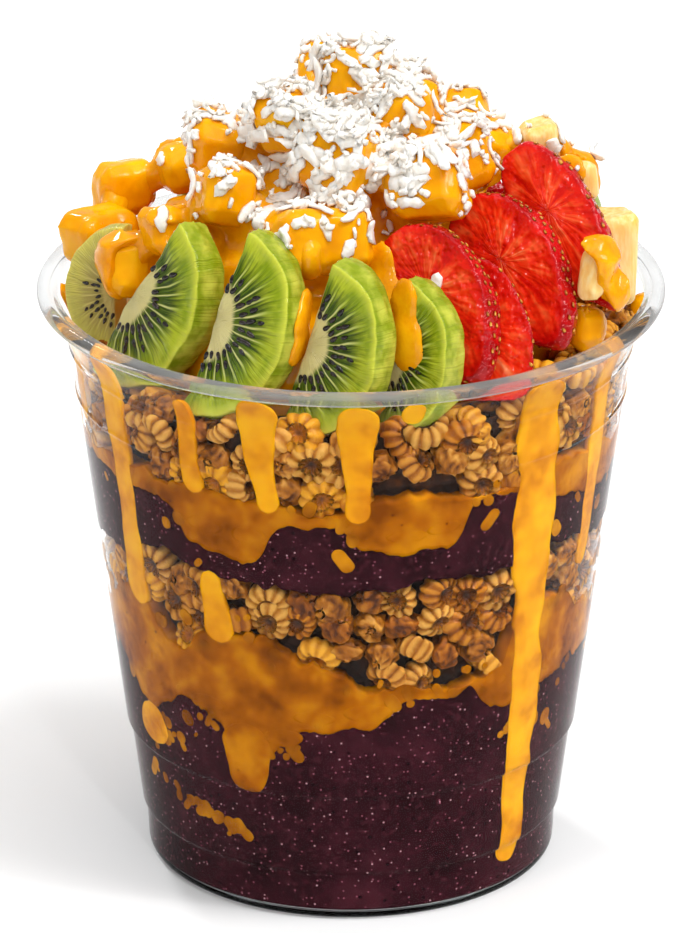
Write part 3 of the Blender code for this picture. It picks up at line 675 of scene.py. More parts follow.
# Runs of sauce down the inside of the wall: (azimuth, height mm, half width mm) along each.
RUNS = (
    ((-59, 111, 2.8), (-58, 104, 3.0), (-57.5, 92, 3.4), (-57, 80, 2.6), (-57.5, 70, 3.2), (-57, 58, 4.0)),
    ((-36, 108, 1.4), (-35.5, 98, 2.0), (-35, 91, 2.4), (-35, 87, 2.6)), ((-33, 73, 1.8), (-32, 64, 2.8), (-31, 56, 4.0)),
    ((-18, 111, 4.8), (-19, 107, 4.4), (-19.3, 101, 3.2), (-19, 95, 2.5), (-17.8, 90, 2.3), (-17.4, 85.5, 3.2)),
    ((1.5, 111, 4.2), (1, 106, 4.0), (1.3, 99, 3.0), (1.6, 93, 2.4), (1.5, 88, 2.7), (1.5, 84.5, 3.3)),
    ((12.5, 111, 2.4), (12.3, 108, 2.0), (12.2, 105, 2.0)),
    ((40, 111, 4.0), (41.5, 103, 4.0), (43, 92, 4.8), (43.3, 80, 5.0), (44.5, 68, 4.4), (45.6, 55, 3.6),
     (47, 44, 4.0), (47.5, 33, 4.2), (48.2, 22, 3.8), (49, 13, 3.3), (50, 7.5, 4.4), (50, 6.0, 4.2)),
    ((62.5, 111, 3.0), (63, 100, 2.8), (64, 84, 2.6), (64, 70, 2.2), (64, 64, 2.0)),
    ((-60, 39, 4.0), (-58.6, 33, 5.6), (-58, 28.5, 5.2)),
    ((92, 111, 3.0), (93, 100, 2.8), (95, 88, 2.6), (95, 80, 2.4)),
    ((118, 110, 2.4), (119, 96, 3.2), (120, 80, 3.0), (121, 62, 3.0), (121, 40, 3.4), (122, 26, 3.0), (122, 18, 3.0)),
    ((148, 111, 3.8), (147, 104, 3.0), (147, 95, 2.4), (148, 86, 2.8)),
    ((176, 111, 3.4), (177, 100, 3.0), (178, 84, 2.8), (178, 66, 2.6), (179, 52, 3.0)),
    ((-152, 111, 2.6), (-151, 100, 2.8), (-150, 90, 2.6)),
    ((-126, 111, 3.6), (-127, 102, 3.4), (-128, 88, 3.0), (-128, 70, 3.0), (-127, 50, 3.0), (-126, 34, 3.4),
     (-126, 22, 3.0)),
    ((-98, 111, 3.0), (-97, 100, 2.6), (-96, 90, 2.4)),
    ((-76, 111, 2.6), (-75, 104, 2.2), (-75, 96, 2.2), (-75, 90, 2.0)),
)


# Round lobes of the lower and the upper sauce: the same columns as the runs.
LOBES = (
    ((-27, 42, 5.4), (-26.5, 34, 4.8), (-26.3, 28, 4.2), (-26, 25.5, 4.6)), ((-17, 42, 4.6), (-16.4, 36, 4.2)),
    ((4.5, 48, 5.4), (4.2, 42, 4.6)), ((-9, 46, 4.4), (-9, 41.5, 3.6)), ((-57, 46, 4.8), (-56.6, 41.5, 4.2)),
    ((-37, 46, 4.4), (-37, 41, 3.8)), ((36, 50, 3.4), (36, 46, 3.0)), ((57, 50, 4.4), (57.5, 45, 4.0)),
    ((-33, 84, 4.4), (-33, 79, 4.0)), ((12, 84, 4.6), (12, 80, 4.0)), ((20, 85, 4.0), (20.5, 81, 3.2)),
    ((-23, 84, 3.8), (-22.6, 78, 3.4)), ((66, 88, 4.0), (66, 82, 3.4)), ((108, 42, 5.0), (108, 34, 4.2)),
    ((142, 50, 4.4), (142, 40, 4.0)), ((-170, 46, 5.0), (-169, 36, 4.2)), ((-118, 40, 5.0), (-118, 29, 4.4)),
)


# Where sauce has smeared thinly over the acai: (azimuth, height mm) from one end to the other, and its spots.
SMEARS = (((-64, 23.5), (-42, 19.0), 16), ((-42, 19.0), (-24, 15.5), 12), ((-60, 30.0), (-46, 33.0), 9),
          ((38, 37.0), (58, 34.5), 12), ((-34, 34.0), (-12, 36.0), 14), ((100, 24.0), (130, 30.0), 16),
          ((-170, 22.0), (-140, 28.0), 16), ((-110, 25.0), (-86, 33.0), 14))


def smears(rng, edges):
    """Short smears of sauce, along the given lines and beside the layers' edges."""
    places = []
    for (start, low), (end, high), count in SMEARS:
        for _ in range(count):
            share = rng.random()
            places.append((start + (end - start) * share + rng.gauss(0, 1.0),
                           low + (high - low) * share + rng.gauss(0, 0.8)))
    for table in edges:
        for _ in range(80):
            azimuth = rng.uniform(-180.0, 180.0)
            places.append((azimuth, float(level(table, [azimuth])[0]) / MM + rng.gauss(0.0, 2.4)))
    made = []
    for azimuth, height in places:
        half = rng.uniform(0.4, 1.5)
        long = half * rng.uniform(1.8, 3.6)
        across = long * rng.uniform(-1.2, 1.2)
        made.append(((azimuth - 0.5 * across, height + 0.5 * long, half),
                     (azimuth, height, half * rng.uniform(0.6, 1.2)),
                     (azimuth + 0.5 * across, height - 0.5 * long, half)))
    return made


def run_mesh(run, seed, into=0.46 * MM, thick=1.6 * MM):
    """A flattened, round-ended run of sauce pressed against the wall."""
    sides = 9
    centres = []
    for (az, high, half), (az_next, high_next, half_next) in zip(run, run[1:]):
        radius = float(inner_radius(high * MM))
        length = math.hypot((high - high_next) * MM, radius * math.radians(az_next - az))
        count = max(6, int(length / (0.9 * MM)))
        centres += [(az + (az_next - az) * s / count, (high + (high_next - high) * s / count) * MM,
                     (half + (half_next - half) * s / count) * MM) for s in range(count)]
    centres.append((run[-1][0], run[-1][1] * MM, run[-1][2] * MM))
    centres = np.array(centres)
    spread = np.ones(9) / 9.0
    padded = np.concatenate([np.repeat(centres[:1], 4, 0), centres, np.repeat(centres[-1:], 4, 0)])
    centres = np.stack([np.convolve(padded[:, axis], spread, "valid") for axis in range(3)], axis=-1)
    radii = inner_radius(centres[:, 1])
    flat = np.stack([np.radians(centres[:, 0]) * radii.mean(), centres[:, 1]], axis=-1)
    ahead = np.gradient(flat, axis=0)
    ahead /= np.linalg.norm(ahead, axis=1)[:, None]
    aside = np.stack([-ahead[:, 1], ahead[:, 0]], axis=-1)
    path = np.concatenate([[0.0], np.cumsum(np.linalg.norm(np.diff(flat, axis=0), axis=1))])
    halves = centres[:, 2].copy()
    end_half = min(halves[-1], 0.5 * path[-1])
    halves *= np.sqrt(np.clip(1.0 - ((path - path[-1] + end_half) / end_half).clip(0.0, 1.0) ** 2, 0.0, 1.0))
    start_half = min(centres[0, 2], 0.5 * path[-1])
    halves *= np.sqrt(np.clip(1.0 - ((start_half - path) / start_half).clip(0.0, 1.0) ** 2, 0.0, 1.0))
    rings = []
    for (along, high), side, half, radius, step in zip(flat, aside, halves, radii, path):
        half = max(half, 0.02 * MM)
        wobble = [1.0 + 0.34 * noise.noise(Vector((step * 120.0, sign * 3.0, seed)))
                  + 0.06 * noise.noise(Vector((step * 420.0, sign * 3.0, seed + 9.0))) for sign in (-1.0, 1.0)]
        ring = []
        for share, depth in [(math.cos(t), math.sin(t)) for t in np.linspace(math.pi, 0.0, sides)]:
            edge = share * half * (wobble[0] if share < 0.0 else wobble[1])
            ring.append((along + side[0] * edge, high + side[1] * edge, into * min(1.0, 3.0 * depth) - 0.1 * MM))
        for share, depth in [(math.cos(t), math.sin(t)) for t in np.linspace(0.0, math.pi, sides)[1:-1]]:
            edge = share * half * (wobble[0] if share < 0.0 else wobble[1])
            ring.append((along + side[0] * edge, high + side[1] * edge,
                         -0.1 * MM - depth * min(thick, half)))
        rings.append(ring)
    count = len(rings[0])
    grid = np.array(rings).reshape(-1, 3)
    turns = grid[:, 0] / radii.mean()
    height = np.clip(grid[:, 1], 1.2 * MM, None)
    reach = inner_radius(height) + grid[:, 2]
    points = np.stack([reach * np.sin(turns), -reach * np.cos(turns), height], axis=-1)
    faces = tube_faces(len(rings), count)
    return points, faces


def joined(parts):
    """One array of points and one list of faces from many."""
    points, faces, start = [], [], 0
    for corner, face in parts:
        points.append(corner)
        faces.append(np.asarray(face) + start)
        start += len(corner)
    return np.concatenate(points), np.concatenate(faces)


# ---------------------------------------------------------------- granola

def puff(rng, radius):
    """A ribbed puff of grain: its points about the origin, axis along Z, its faces and each point's painted shade."""
    lobes, around, rows = rng.choice((9, 10, 11)), 40, 9
    groove = rng.uniform(0.16, 0.26)
    flat = rng.uniform(0.55, 0.7)
    turns = np.arange(around) * math.tau / around
    tilts = np.linspace(0.0, math.pi, rows)[1:-1]
    turn, tilt = np.meshgrid(turns, tilts)
    phase = rng.uniform(0.0, math.tau)
    rib = np.abs(np.cos(0.5 * lobes * turn + phase)) ** 0.7
    uneven = 1.0 + 0.07 * np.sin(2.0 * turn + phase) + 0.05 * np.sin(3.0 * turn - phase)
    reach = np.sin(tilt) ** 0.8
    wide = radius * uneven * (1.0 - groove * (1.0 - rib)) * reach
    dimple = np.exp(-(reach / 0.42) ** 2)
    tall = radius * flat * np.sign(np.cos(tilt)) * np.abs(np.cos(tilt)) ** 0.75 * (1.0 - 0.45 * dimple)
    tall = tall * (0.8 + 0.2 * rib)
    points = np.stack([wide * np.cos(turn), wide * np.sin(turn), tall], axis=-1).reshape(-1, 3)
    # Painted shade: darker in the grooves between the ribs and in the dimples at the poles.
    shade = (0.25 + 0.75 * rib) * (1.0 - 0.75 * np.exp(-(reach / 0.3) ** 2))
    ends = np.array([(0.0, 0.0, radius * flat * 0.35), (0.0, 0.0, -radius * flat * 0.35)])
    count = len(points)
    faces = tube_faces(len(tilts), around).tolist()
    top = [(count, step, (step + 1) % around) for step in range(around)]
    last = count - around
    low = [(count + 1, last + (step + 1) % around, last + step) for step in range(around)]
    return np.concatenate([points, ends]), faces + top + low, np.concatenate([shade.ravel(), [0.0, 0.0]])


def lump(rng, radius):
    """A cluster of broken puffs, as a lumpy ball."""
    around, rows = 26, 13
    turns = np.arange(around) * math.tau / around
    tilts = np.linspace(0.0, math.pi, rows)[1:-1]
    turn, tilt = np.meshgrid(turns, tilts)
    unit = np.stack([np.sin(tilt) * np.cos(turn), np.sin(tilt) * np.sin(turn), np.cos(tilt)], axis=-1).reshape(-1, 3)
    unit = np.concatenate([unit, [(0.0, 0.0, 1.0), (0.0, 0.0, -1.0)]])
    seed = Vector((rng.uniform(0, 50), rng.uniform(0, 50), rng.uniform(0, 50)))
    heights = []
    for spot in unit:
        folds = noise.noise(Vector(spot) * 2.6 + seed)
        heights.append(abs(folds) ** 0.6 * 1.0 + 0.3 * noise.noise(Vector(spot) * 1.2 + seed))
    heights = np.array(heights)
    heights = (heights - heights.min()) / (heights.max() - heights.min())
    points = unit * (radius * (0.62 + 0.42 * heights))[:, None] * np.array(
        [rng.uniform(0.85, 1.1), rng.uniform(0.85, 1.1), rng.uniform(0.7, 0.9)])
    count = len(unit) - 2
    faces = tube_faces(len(tilts), around).tolist()
    faces += [(count, step, (step + 1) % around) for step in range(around)]
    last = count - around
    faces += [(count + 1, last + (step + 1) % around, last + step) for step in range(around)]
    # Painted shade: darker where the surface lies lower, in the crevices between the broken puffs.
    return points, faces, 0.1 + 0.9 * heights


def granola_piece(name, spots, finish, seed):
    """A scatter of puffs and clusters as one piece, each spot being (place, outward direction, radius, tone)."""
    rng = random.Random(seed)
    points, faces, shades, tones, wets, start = [], [], [], [], [], 0
    for place, away, radius, tone, wet in spots:
        clustered = rng.random() < 0.34
        shape, cover, shade = lump(rng, radius) if clustered else puff(rng, radius)
        lean = Vector((rng.gauss(0, 0.4), rng.gauss(0, 0.4), rng.gauss(0, 0.4)))
        if rng.random() < 0.22:
            lean *= 3.0
        face = (Vector(away) + lean).normalized()
        turn = np.array(face.to_track_quat("Z", "Y").to_matrix() @ Matrix.Rotation(rng.uniform(0, math.tau), 3, "Z"))
        points.append(pressed(shape @ turn.T + np.array(place)))
        faces += [tuple(index + start for index in corner) for corner in cover]
        shades.append(shade)
        tones.append(np.full(len(shape), min(1.0, max(0.0, tone + rng.gauss(0, 0.18)))))
        wets.append(np.full(len(shape), wet))
        start += len(shape)
    mesh = bpy.data.meshes.new(name)
    mesh.from_pydata(np.concatenate(points).tolist(), [], faces)
    store(mesh, "shade", np.concatenate(shades))
    store(mesh, "tone", np.concatenate(tones))
    store(mesh, "wet", np.concatenate(wets))
    return mesh


def pressed(points):
    """Points drawn in to where the cup's wall stops them."""
    far = np.hypot(points[:, 0], points[:, 1])
    most = inner_radius(np.minimum(points[:, 2], RIM_Z)) + 0.1 * MM
    share = np.minimum(1.0, most / np.maximum(far, MM))
    return points * np.stack([share, share, np.ones(len(points))], axis=-1)


def keep_inside(place, radius):
    """Pull a puff's middle in until the puff just touches the wall."""
    x, y, z = place
    far = math.hypot(x, y)
    most = float(inner_radius(z)) - 0.62 * radius
    share = min(1.0, most / far)
    return (x * share, y * share, z)


def wall_puffs(low, high, seed, pitch=6.5):
    """Spots for puffs pressed against the wall between two boundaries."""
    rng = random.Random(seed)
    spots = []
    rows = 0
    height = 40.0
    while height < 116.0:
        rows += 1
        radius = float(inner_radius(height * MM)) / MM
        count = int(math.tau * radius / pitch)
        for index in range(count):
            azimuth = (index + 0.5 * (rows % 2)) * 360.0 / count - 180.0 + rng.uniform(-1.6, 1.6)
            z = (height + rng.uniform(-1.5, 1.5)) * MM
            bottom, top = float(level(low, [azimuth])[0]), float(level(high, [azimuth])[0])
            size = rng.uniform(3.7, 4.7) * MM
            if not bottom + 1.2 * MM < z < top - 1.0 * MM:
                continue
            turn = math.radians(azimuth)
            away = (math.sin(turn), -math.cos(turn), 0.0)
            reach = float(inner_radius(z)) - rng.uniform(0.42, 0.62) * size
            pale = 1.0 if 46.0 < azimuth < 62.0 and z < 80.0 * MM else rng.uniform(0.15, 0.85)
            wet = rng.uniform(0.4, 0.95) if z < bottom + 5.0 * MM and rng.random() < 0.6 else 0.0
            spots.append(((away[0] * reach, away[1] * reach, z), away, size, pale, wet))
        height += pitch * 0.86
    return spots


# ---------------------------------------------------------------- fruit

def turned(turn, lean, roll):
    """The turn of a slice: rolled about Y, leaning back about X and turned about Z."""
    return (Matrix.Rotation(math.radians(turn), 3, "Z") @ Matrix.Rotation(math.radians(-lean), 3, "X")
            @ Matrix.Rotation(math.radians(roll), 3, "Y"))


def settled(node, plain, turn):
    """Where a slice of plain points lies, so that its box is that of its CAD node."""
    low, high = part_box(node)
    shape = plain @ np.array(turn).T
    return (np.array(low) + np.array(high)) / 2.0 - (shape.min(axis=0) + shape.max(axis=0)) / 2.0


def cut(shape, point, side):
    """Cut a closed mesh with a plane, drop what lies on its side, and close the cut."""
    everything = shape.verts[:] + shape.edges[:] + shape.faces[:]
    kept = bmesh.ops.bisect_plane(shape, geom=everything, dist=1e-7, plane_co=point, plane_no=side, clear_outer=True)
    rim = [item for item in kept["geom_cut"] if isinstance(item, bmesh.types.BMEdge)]
    bmesh.ops.contextual_create(shape, geom=rim)


def solid(shape, name):
    """The mesh of a closed bmesh, with its faces outwards."""
    bmesh.ops.recalc_face_normals(shape, faces=shape.faces)
    mesh = bpy.data.meshes.new(name)
    shape.to_mesh(mesh)
    shape.free()
    return mesh


def kiwi_blank():
    """Half a slice of kiwi in mm, before its scale."""
    shape = bmesh.new()
    bmesh.ops.create_cone(shape, cap_ends=True, segments=64, radius1=1.0, radius2=1.0, depth=KIWI_THICK)
    bmesh.ops.rotate(shape, verts=shape.verts, matrix=Matrix.Rotation(math.radians(90), 3, "X"))
    side = [edge for edge in shape.edges if abs(edge.verts[0].co.y - edge.verts[1].co.y) > 0.5 * KIWI_THICK]
    bmesh.ops.subdivide_edges(shape, edges=side, cuts=1)
    for vertex in shape.verts:
        belly = 1.0 if abs(vertex.co.y) < 0.1 * KIWI_THICK else 0.96
        vertex.co.x *= belly * KIWI_DEEP
        vertex.co.z *= belly * KIWI_HIGH
    cut(shape, (0.0, 0.0, 0.0), (-1.0, 0.0, 0.0))
    return solid(shape, "kiwi")


def berry_radius(share):
    """Radius of a strawberry along its length, from its tip (0) to its shoulder (1), in mm."""
    return 0.5 * BERRY_WIDE * max(0.0, math.sin(math.pi * min(1.0, max(0.0, share)) ** 1.2)) ** 0.55


def berry_blank(front, back, scale, wide):
    """A slice of strawberry in mm, before its scale."""
    shape = bmesh.new()
    bmesh.ops.create_uvsphere(shape, u_segments=48, v_segments=36, radius=1.0)
    for vertex in shape.verts:
        share = 0.5 + 0.5 * vertex.co.z
        flat = math.hypot(vertex.co.x, vertex.co.y)
        dimple = 0.06 * math.exp(-(flat / 0.25) ** 2) if share > 0.5 else 0.0
        radius = wide * berry_radius(share) / max(flat, 1e-6)
        vertex.co = (vertex.co.x * radius, vertex.co.y * radius, (share - 0.5 - dimple) * BERRY_LONG)
    cut(shape, (0.0, -front / scale, 0.0), (0.0, -1.0, 0.0))
    cut(shape, (0.0, back / scale, 0.0), (0.0, 1.0, 0.0))
    return solid(shape, "strawberry")


def fine(mesh, voxel, smooth):
    """A mesh remade from even quads, its edges softened."""
    return through(mesh, ("REMESH", {"mode": "VOXEL", "voxel_size": voxel}),
                   ("SMOOTH", {"factor": 0.5, "iterations": smooth}))


def uneven(points, size, scale, seed):
    """Soft random moves of points."""
    moved = points.copy()
    shift = Vector((seed * 3.1, seed * 1.7, seed * 2.3))
    for index, point in enumerate(points):
        moved[index] += size * np.array(noise.noise_vector(Vector(point) * scale + shift))
    return moved


# Kiwi half slices: turn about Z, lean back, roll and scale.
KIWIS = ((-25, 12, 180, 0.68), (-46, 14, 26, 1.0), (-30, 15, 14, 1.0), (-33, 9, 14, 0.96), (-40, 10, 4, 0.82),
         (84, 14, 0, 0.68), (136, 14, 8, 1.0), (162, 14, 4, 1.0), (190, 14, 6, 0.95))

# Strawberry slices: turn, lean, roll, scale, how far in mm the cuts lie before and behind the axis, and the
# width as a share of the usual one.
BERRIES = ((-30, 22, -46, 0.95, 2.5, 3.5, 0.92), (-30, 22, -48, 0.95, -3.8, 20.0, 1.0),
           (-34, 22, -52, 1.0, 2.5, 3.5, 0.86), (-34, 22, -50, 1.1, 1.5, 2.5, 0.58),
           (97, 20, -28, 0.85, 2.5, 3.0, 1.0), (116, 20, -28, 0.95, 2.5, 3.0, 1.0),
           (222, 20, 24, 0.75, 2.5, 4.0, 1.0))


def seed_shape(long, wide, thick, around=8, rows=5):
    """A small pointed seed, long along Z and thin along Y."""
    tilts = np.linspace(0.0, math.pi, rows + 2)[1:-1]
    turns = np.arange(around) * math.tau / around
    turn, tilt = np.meshgrid(turns, tilts)
    taper = 1.0 - 0.35 * np.cos(tilt)
    points = np.stack([wide * taper * np.sin(tilt) * np.cos(turn), thick * taper * np.sin(tilt) * np.sin(turn),
                       long * np.cos(tilt)], axis=-1).reshape(-1, 3) / 2.0
    points = np.concatenate([points, [(0.0, 0.0, long / 2.0), (0.0, 0.0, -long / 2.0)]])
    count = rows * around
    faces = [tuple(face) for face in tube_faces(rows, around)]
    faces += [(count, step, (step + 1) % around) for step in range(around)]
    last = count - around
    faces += [(count + 1, last + (step + 1) % around, last + step) for step in range(around)]
    return points, faces


def gathered(name, parts):
    """One mesh from many lists of points and faces."""
    points, faces, start = [], [], 0
    for shape, cover in parts:
        points.append(shape)
        faces += [tuple(index + start for index in face) for face in cover]
        start += len(shape)
    mesh = bpy.data.meshes.new(name)
    mesh.from_pydata(np.concatenate(points).tolist(), [], faces)
    return mesh


def make_kiwis(finish, seed_black):
    """The kiwi half slices, and their seeds."""
    blank = kiwi_blank()
    plain = points_of(blank)
    detailed = fine(blank, 0.42, 5)
    seeds = []
    shell = seed_shape(1.95, 1.0, 0.7)
    rng = random.Random(11)
    for number, (turn, lean, roll, scale) in enumerate(KIWIS, 1):
        node = f"kiwi_{number}"
        matrix = turned(turn, lean, roll)
        place = settled(node, plain * scale * MM, matrix)
        mesh = detailed.copy()
        local = points_of(mesh)
        store(mesh, "at", local)
        store(mesh, "pale", np.full(len(local), 0.6 if number == 1 else 0.0))
        shaped = uneven(local, 0.7, 0.11, number)
        shaped = uneven(shaped, 0.25, 0.35, number + 20)
        world = (shaped * scale * MM) @ np.array(matrix).T + place
        move_points(mesh, world)
        piece(f"kiwi_slice_{number}", mesh, finish, "kiwi", node)
        tree = BVHTree.FromPolygons(shaped.tolist(), [tuple(face.vertices) for face in mesh.polygons])
        for angle in (np.arange(KIWI_RAYS) + 0.5) * 180.0 / KIWI_RAYS - 90.0:
            first = rng.uniform(0.34, 0.4)
            for order in range(rng.choice((1, 2, 2, 3))):
                reach = first + 0.115 * order + rng.uniform(-0.02, 0.02)
                way = math.radians(angle + rng.uniform(-1.8, 1.8))
                x, z = reach * KIWI_DEEP * math.cos(way), reach * KIWI_HIGH * math.sin(way)
                for face in (-1.0, 1.0):
                    hit = tree.ray_cast(Vector((x, face * 20.0, z)), Vector((0.0, -face, 0.0)))
                    if hit[0] is None or x < 0.5:
                        continue
                    point = np.array(hit[0]) - np.array([0.0, face * 0.02, 0.0])
                    spin = np.array(Matrix.Rotation(math.pi / 2.0 - math.atan2(z, x) + rng.uniform(-0.3, 0.3), 3, "Y"))
                    grown = shell[0] * rng.uniform(0.8, 1.1) @ spin.T + point
                    seeds.append(((grown * scale * MM) @ np.array(matrix).T + place, shell[1]))
    piece("kiwi_seeds", gathered("kiwi_seeds", seeds), seed_black, "kiwi")


def make_berries(finish, seed_gold):
    """The strawberry slices, and the seeds in their skin."""
    seeds = []
    shell = seed_shape(1.1, 0.68, 0.45, 6, 3)
    rng = random.Random(12)
    for number, (turn, lean, roll, scale, front, back, wide) in enumerate(BERRIES, 1):
        node = f"strawberry_{number}"
        matrix = turned(turn, lean, roll)
        blank = berry_blank(front, back, scale, wide)
        place = settled(node, points_of(blank) * scale * MM, matrix)
        mesh = fine(blank, 0.42, 4)
        local = points_of(mesh)
        reach = np.hypot(local[:, 0], local[:, 1])
        share = np.clip(local[:, 2] / BERRY_LONG + 0.5, 0.0, 1.0)
        store(mesh, "at", local)
        skin_r = wide * np.array([berry_radius(part) for part in share])
        store(mesh, "deep", skin_r - reach)
        shaped = uneven(local, 0.8, 0.12, number)
        shaped = uneven(shaped, 0.22, 0.5, number + 30)
        skin = skin_r - reach < 0.35
        tree = BVHTree.FromPolygons(shaped.tolist(), [tuple(face.vertices) for face in mesh.polygons])
        matrix_array = np.array(matrix)
        for height in np.arange(-16.0, 16.5, 1.9):
            radius = wide * berry_radius(height / BERRY_LONG + 0.5)
            count = max(3, int(math.tau * radius / 2.5))
            for step in range(count):
                way = (step + rng.uniform(-0.2, 0.2) + 0.5 * (round(height / 1.9) % 2)) * math.tau / count
                point = Vector((radius * math.cos(way), radius * math.sin(way), height + rng.uniform(-0.4, 0.4)))
                inside = -front / scale + 0.3 < point.y < back / scale - 0.3
                if not inside:
                    continue
                near, normal, _index, _distance = tree.find_nearest(point)
                spin = np.array(normal.to_track_quat("Y", "Z").to_matrix())
                grown = shell[0] @ spin.T + np.array(near)
                seeds.append(((grown * scale * MM) @ matrix_array.T + place, shell[1]))
                away = np.linalg.norm(shaped - np.array(near), axis=1)
                pit = 0.26 * np.exp(-(away / 0.75) ** 2) * skin
                shaped -= pit[:, None] * np.array(normal)
        world = (shaped * scale * MM) @ matrix_array.T + place
        move_points(mesh, world)
        piece(f"strawberry_slice_{number}", mesh, finish, "strawberry", node)
    piece("strawberry_seeds", gathered("strawberry_seeds", seeds), seed_gold, "strawberry")


def chunk_piece(node, name, finish, slot, voxel=0.55 * MM, round_off=5, rough=0.8 * MM):
    """A cut cube of fruit, its CAD solid softened and made uneven."""
    mesh = fine(frame["nodes"][node].data.copy(), voxel, round_off)
    points = points_of(mesh)
    seed = sum(ord(letter) * (place + 1) for place, letter in enumerate(node)) % 97
    low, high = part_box(node)
    middle = (np.array(low) + np.array(high)) / 2.0
    points = middle + (points - middle) * 1.04
    points = uneven(points, rough, 130.0, seed)
    points = uneven(points, 0.3 * rough, 420.0, seed + 5)
    move_points(mesh, points)
    return piece(name, mesh, finish, slot, node)


def make_chunks(mango, pineapple):
    """Mango cubes and pineapple chunks."""
    for number in range(1, 24):
        chunk_piece(f"mango_{number:02d}", f"mango_cube_{number:02d}", mango, "mango")
    for number in range(1, 6):
        chunk_piece(f"pineapple_{number}", f"pineapple_chunk_{number}", pineapple, "pineapple", 0.5 * MM, 5,
                    0.5 * MM)


def ball(centre, radii, around=16, rows=9):
    """Points and faces of an ellipsoid."""
    tilts = np.linspace(0.0, math.pi, rows + 2)[1:-1]
    turns = np.arange(around) * math.tau / around
    turn, tilt = np.meshgrid(turns, tilts)
    unit = np.stack([np.sin(tilt) * np.cos(turn), np.sin(tilt) * np.sin(turn), np.cos(tilt)], axis=-1).reshape(-1, 3)
    unit = np.concatenate([unit, [(0.0, 0.0, 1.0), (0.0, 0.0, -1.0)]])
    count = rows * around
    faces = [tuple(face) for face in tube_faces(rows, around)]
    faces += [(count, step, (step + 1) % around) for step in range(around)]
    last = count - around
    faces += [(count + 1, last + (step + 1) % around, last + step) for step in range(around)]
    return unit * np.array(radii) + np.array(centre), faces


def spot(azimuth, radius, height):
    """A place given by azimuth in degrees, distance from the axis and height in mm."""
    turn = math.radians(azimuth)
    return Vector((radius * math.sin(turn), -radius * math.cos(turn), height)) * MM


def surfaces(names):
    """Search tree of the shown pieces whose names start with one of the given words, and each face's piece."""
    points, faces, owners = [], [], []
    for item in bpy.context.scene.objects:
        if item.type != "MESH" or not item.name.startswith(names):
            continue
        start = len(points)
        points += points_of(item.data).tolist()
        faces += [tuple(index + start for index in face.vertices) for face in item.data.polygons]
        owners += [item.name] * len(item.data.polygons)
    return BVHTree.FromPolygons(points, faces), points, faces, owners


# Sauce poured over the fruit: (azimuth, height mm, half width mm) down each run, seen from outside.
POURS = (
    ((-84, 128, 3.6), (-80, 122, 3.6), (-78, 116, 3.0), (-77, 110, 2.4), (-76, 105, 2.2)),
    ((-67, 131, 3.0), (-69, 126, 2.2)),
    ((-12, 129, 1.6), (-11.6, 123, 2.0), (-11.4, 117, 2.2), (-12, 111, 2.8), (-14, 105, 3.4)),
    ((11, 131, 2.4), (12, 126, 3.0), (13, 120, 3.0), (13, 114, 2.8), (13, 107, 3.6)),
    ((59, 119, 3.8), (60, 114, 3.4), (61, 108, 3.2)),
    ((78, 132, 3.4), (80, 128, 3.0), (82, 122, 2.2)),
    ((96, 132, 2.8), (98, 124, 2.4), (98, 116, 2.2)),
    ((140, 134, 3.4), (141, 124, 2.8), (142, 114, 2.4)),
    ((170, 136, 3.4), (171, 126, 2.8), (171, 116, 2.4), (172, 110, 2.2)),
    ((200, 134, 3.4), (199, 124, 2.6), (198, 114, 2.4)),
    ((228, 136, 3.4), (230, 128, 2.8), (236, 118, 2.4)),
)
CLOSING = 1.9 * MM    # how wide a gap between two cubes the sauce fills, on each side


def pour_parts(tree):
    """Flat pats of sauce where each pour meets the fruit."""
    parts = []
    for number, pour in enumerate(POURS):
        for (az, high, half), (az_next, high_next, half_next) in zip(pour, pour[1:]):
            for step in range(8):
                share = step / 8.0
                azimuth = az + (az_next - az) * share
                height = high + (high_next - high) * share
                wide = half + (half_next - half) * share
                wide *= 1.0 + 0.35 * noise.noise(Vector((height * 0.35, 9.0 * number, 0.0)))
                start = spot(azimuth, 60.0, height + 14.0)
                way = (spot(azimuth, 20.0, height - 3.0) - start).normalized()
                place, normal, _index, _far = tree.ray_cast(start, way)
                if place is None:
                    continue
                shape, cover = ball((0.0, 0.0, 0.0), (1.1 * wide * MM, 1.1 * wide * MM, 0.75 * MM))
                spin = np.array(normal.to_track_quat("Z", "Y").to_matrix())
                parts.append((shape @ spin.T + np.array(place), cover))
    return parts


def sauce_mound(finish):
    """The sauce that binds the heap: it fills the gaps between the cubes and runs down over the fruit."""
    dome = frame["nodes"]["mango_heap"].data
    parts = [(points_of(dome), [tuple(face.vertices) for face in dome.polygons])]
    for item in bpy.context.scene.objects:
        if item.name.startswith(("mango_cube", "pineapple_chunk")):
            parts.append((points_of(item.data), [tuple(face.vertices) for face in item.data.polygons]))
    voxel = 0.75 * MM
    mesh = through(gathered("sauce", parts), ("REMESH", {"mode": "VOXEL", "voxel_size": voxel}),
                   ("SMOOTH", {"factor": 0.5, "iterations": 3}),
                   ("DISPLACE", {"strength": CLOSING, "mid_level": 0.0}),
                   ("REMESH", {"mode": "VOXEL", "voxel_size": voxel}),
                   ("SMOOTH", {"factor": 0.5, "iterations": 4}),
                   ("DISPLACE", {"strength": -CLOSING - 0.4 * MM, "mid_level": 0.0}))
    fruit, *_rest = surfaces(("mango_cube", "pineapple_chunk", "kiwi_slice", "strawberry_slice"))
    filled = [(points_of(mesh), [tuple(face.vertices) for face in mesh.polygons])]
    mesh = through(gathered("sauce", filled + pour_parts(fruit)),
                   ("REMESH", {"mode": "VOXEL", "voxel_size": 0.8 * voxel}),
                   ("SMOOTH", {"factor": 0.5, "iterations": 6}))
    move_points(mesh, uneven(points_of(mesh), 0.3 * MM, 170.0, 3))
    return piece("mango_sauce_heap", mesh, finish, "mango_sauce", "mango_heap")


# ---------------------------------------------------------------- coconut

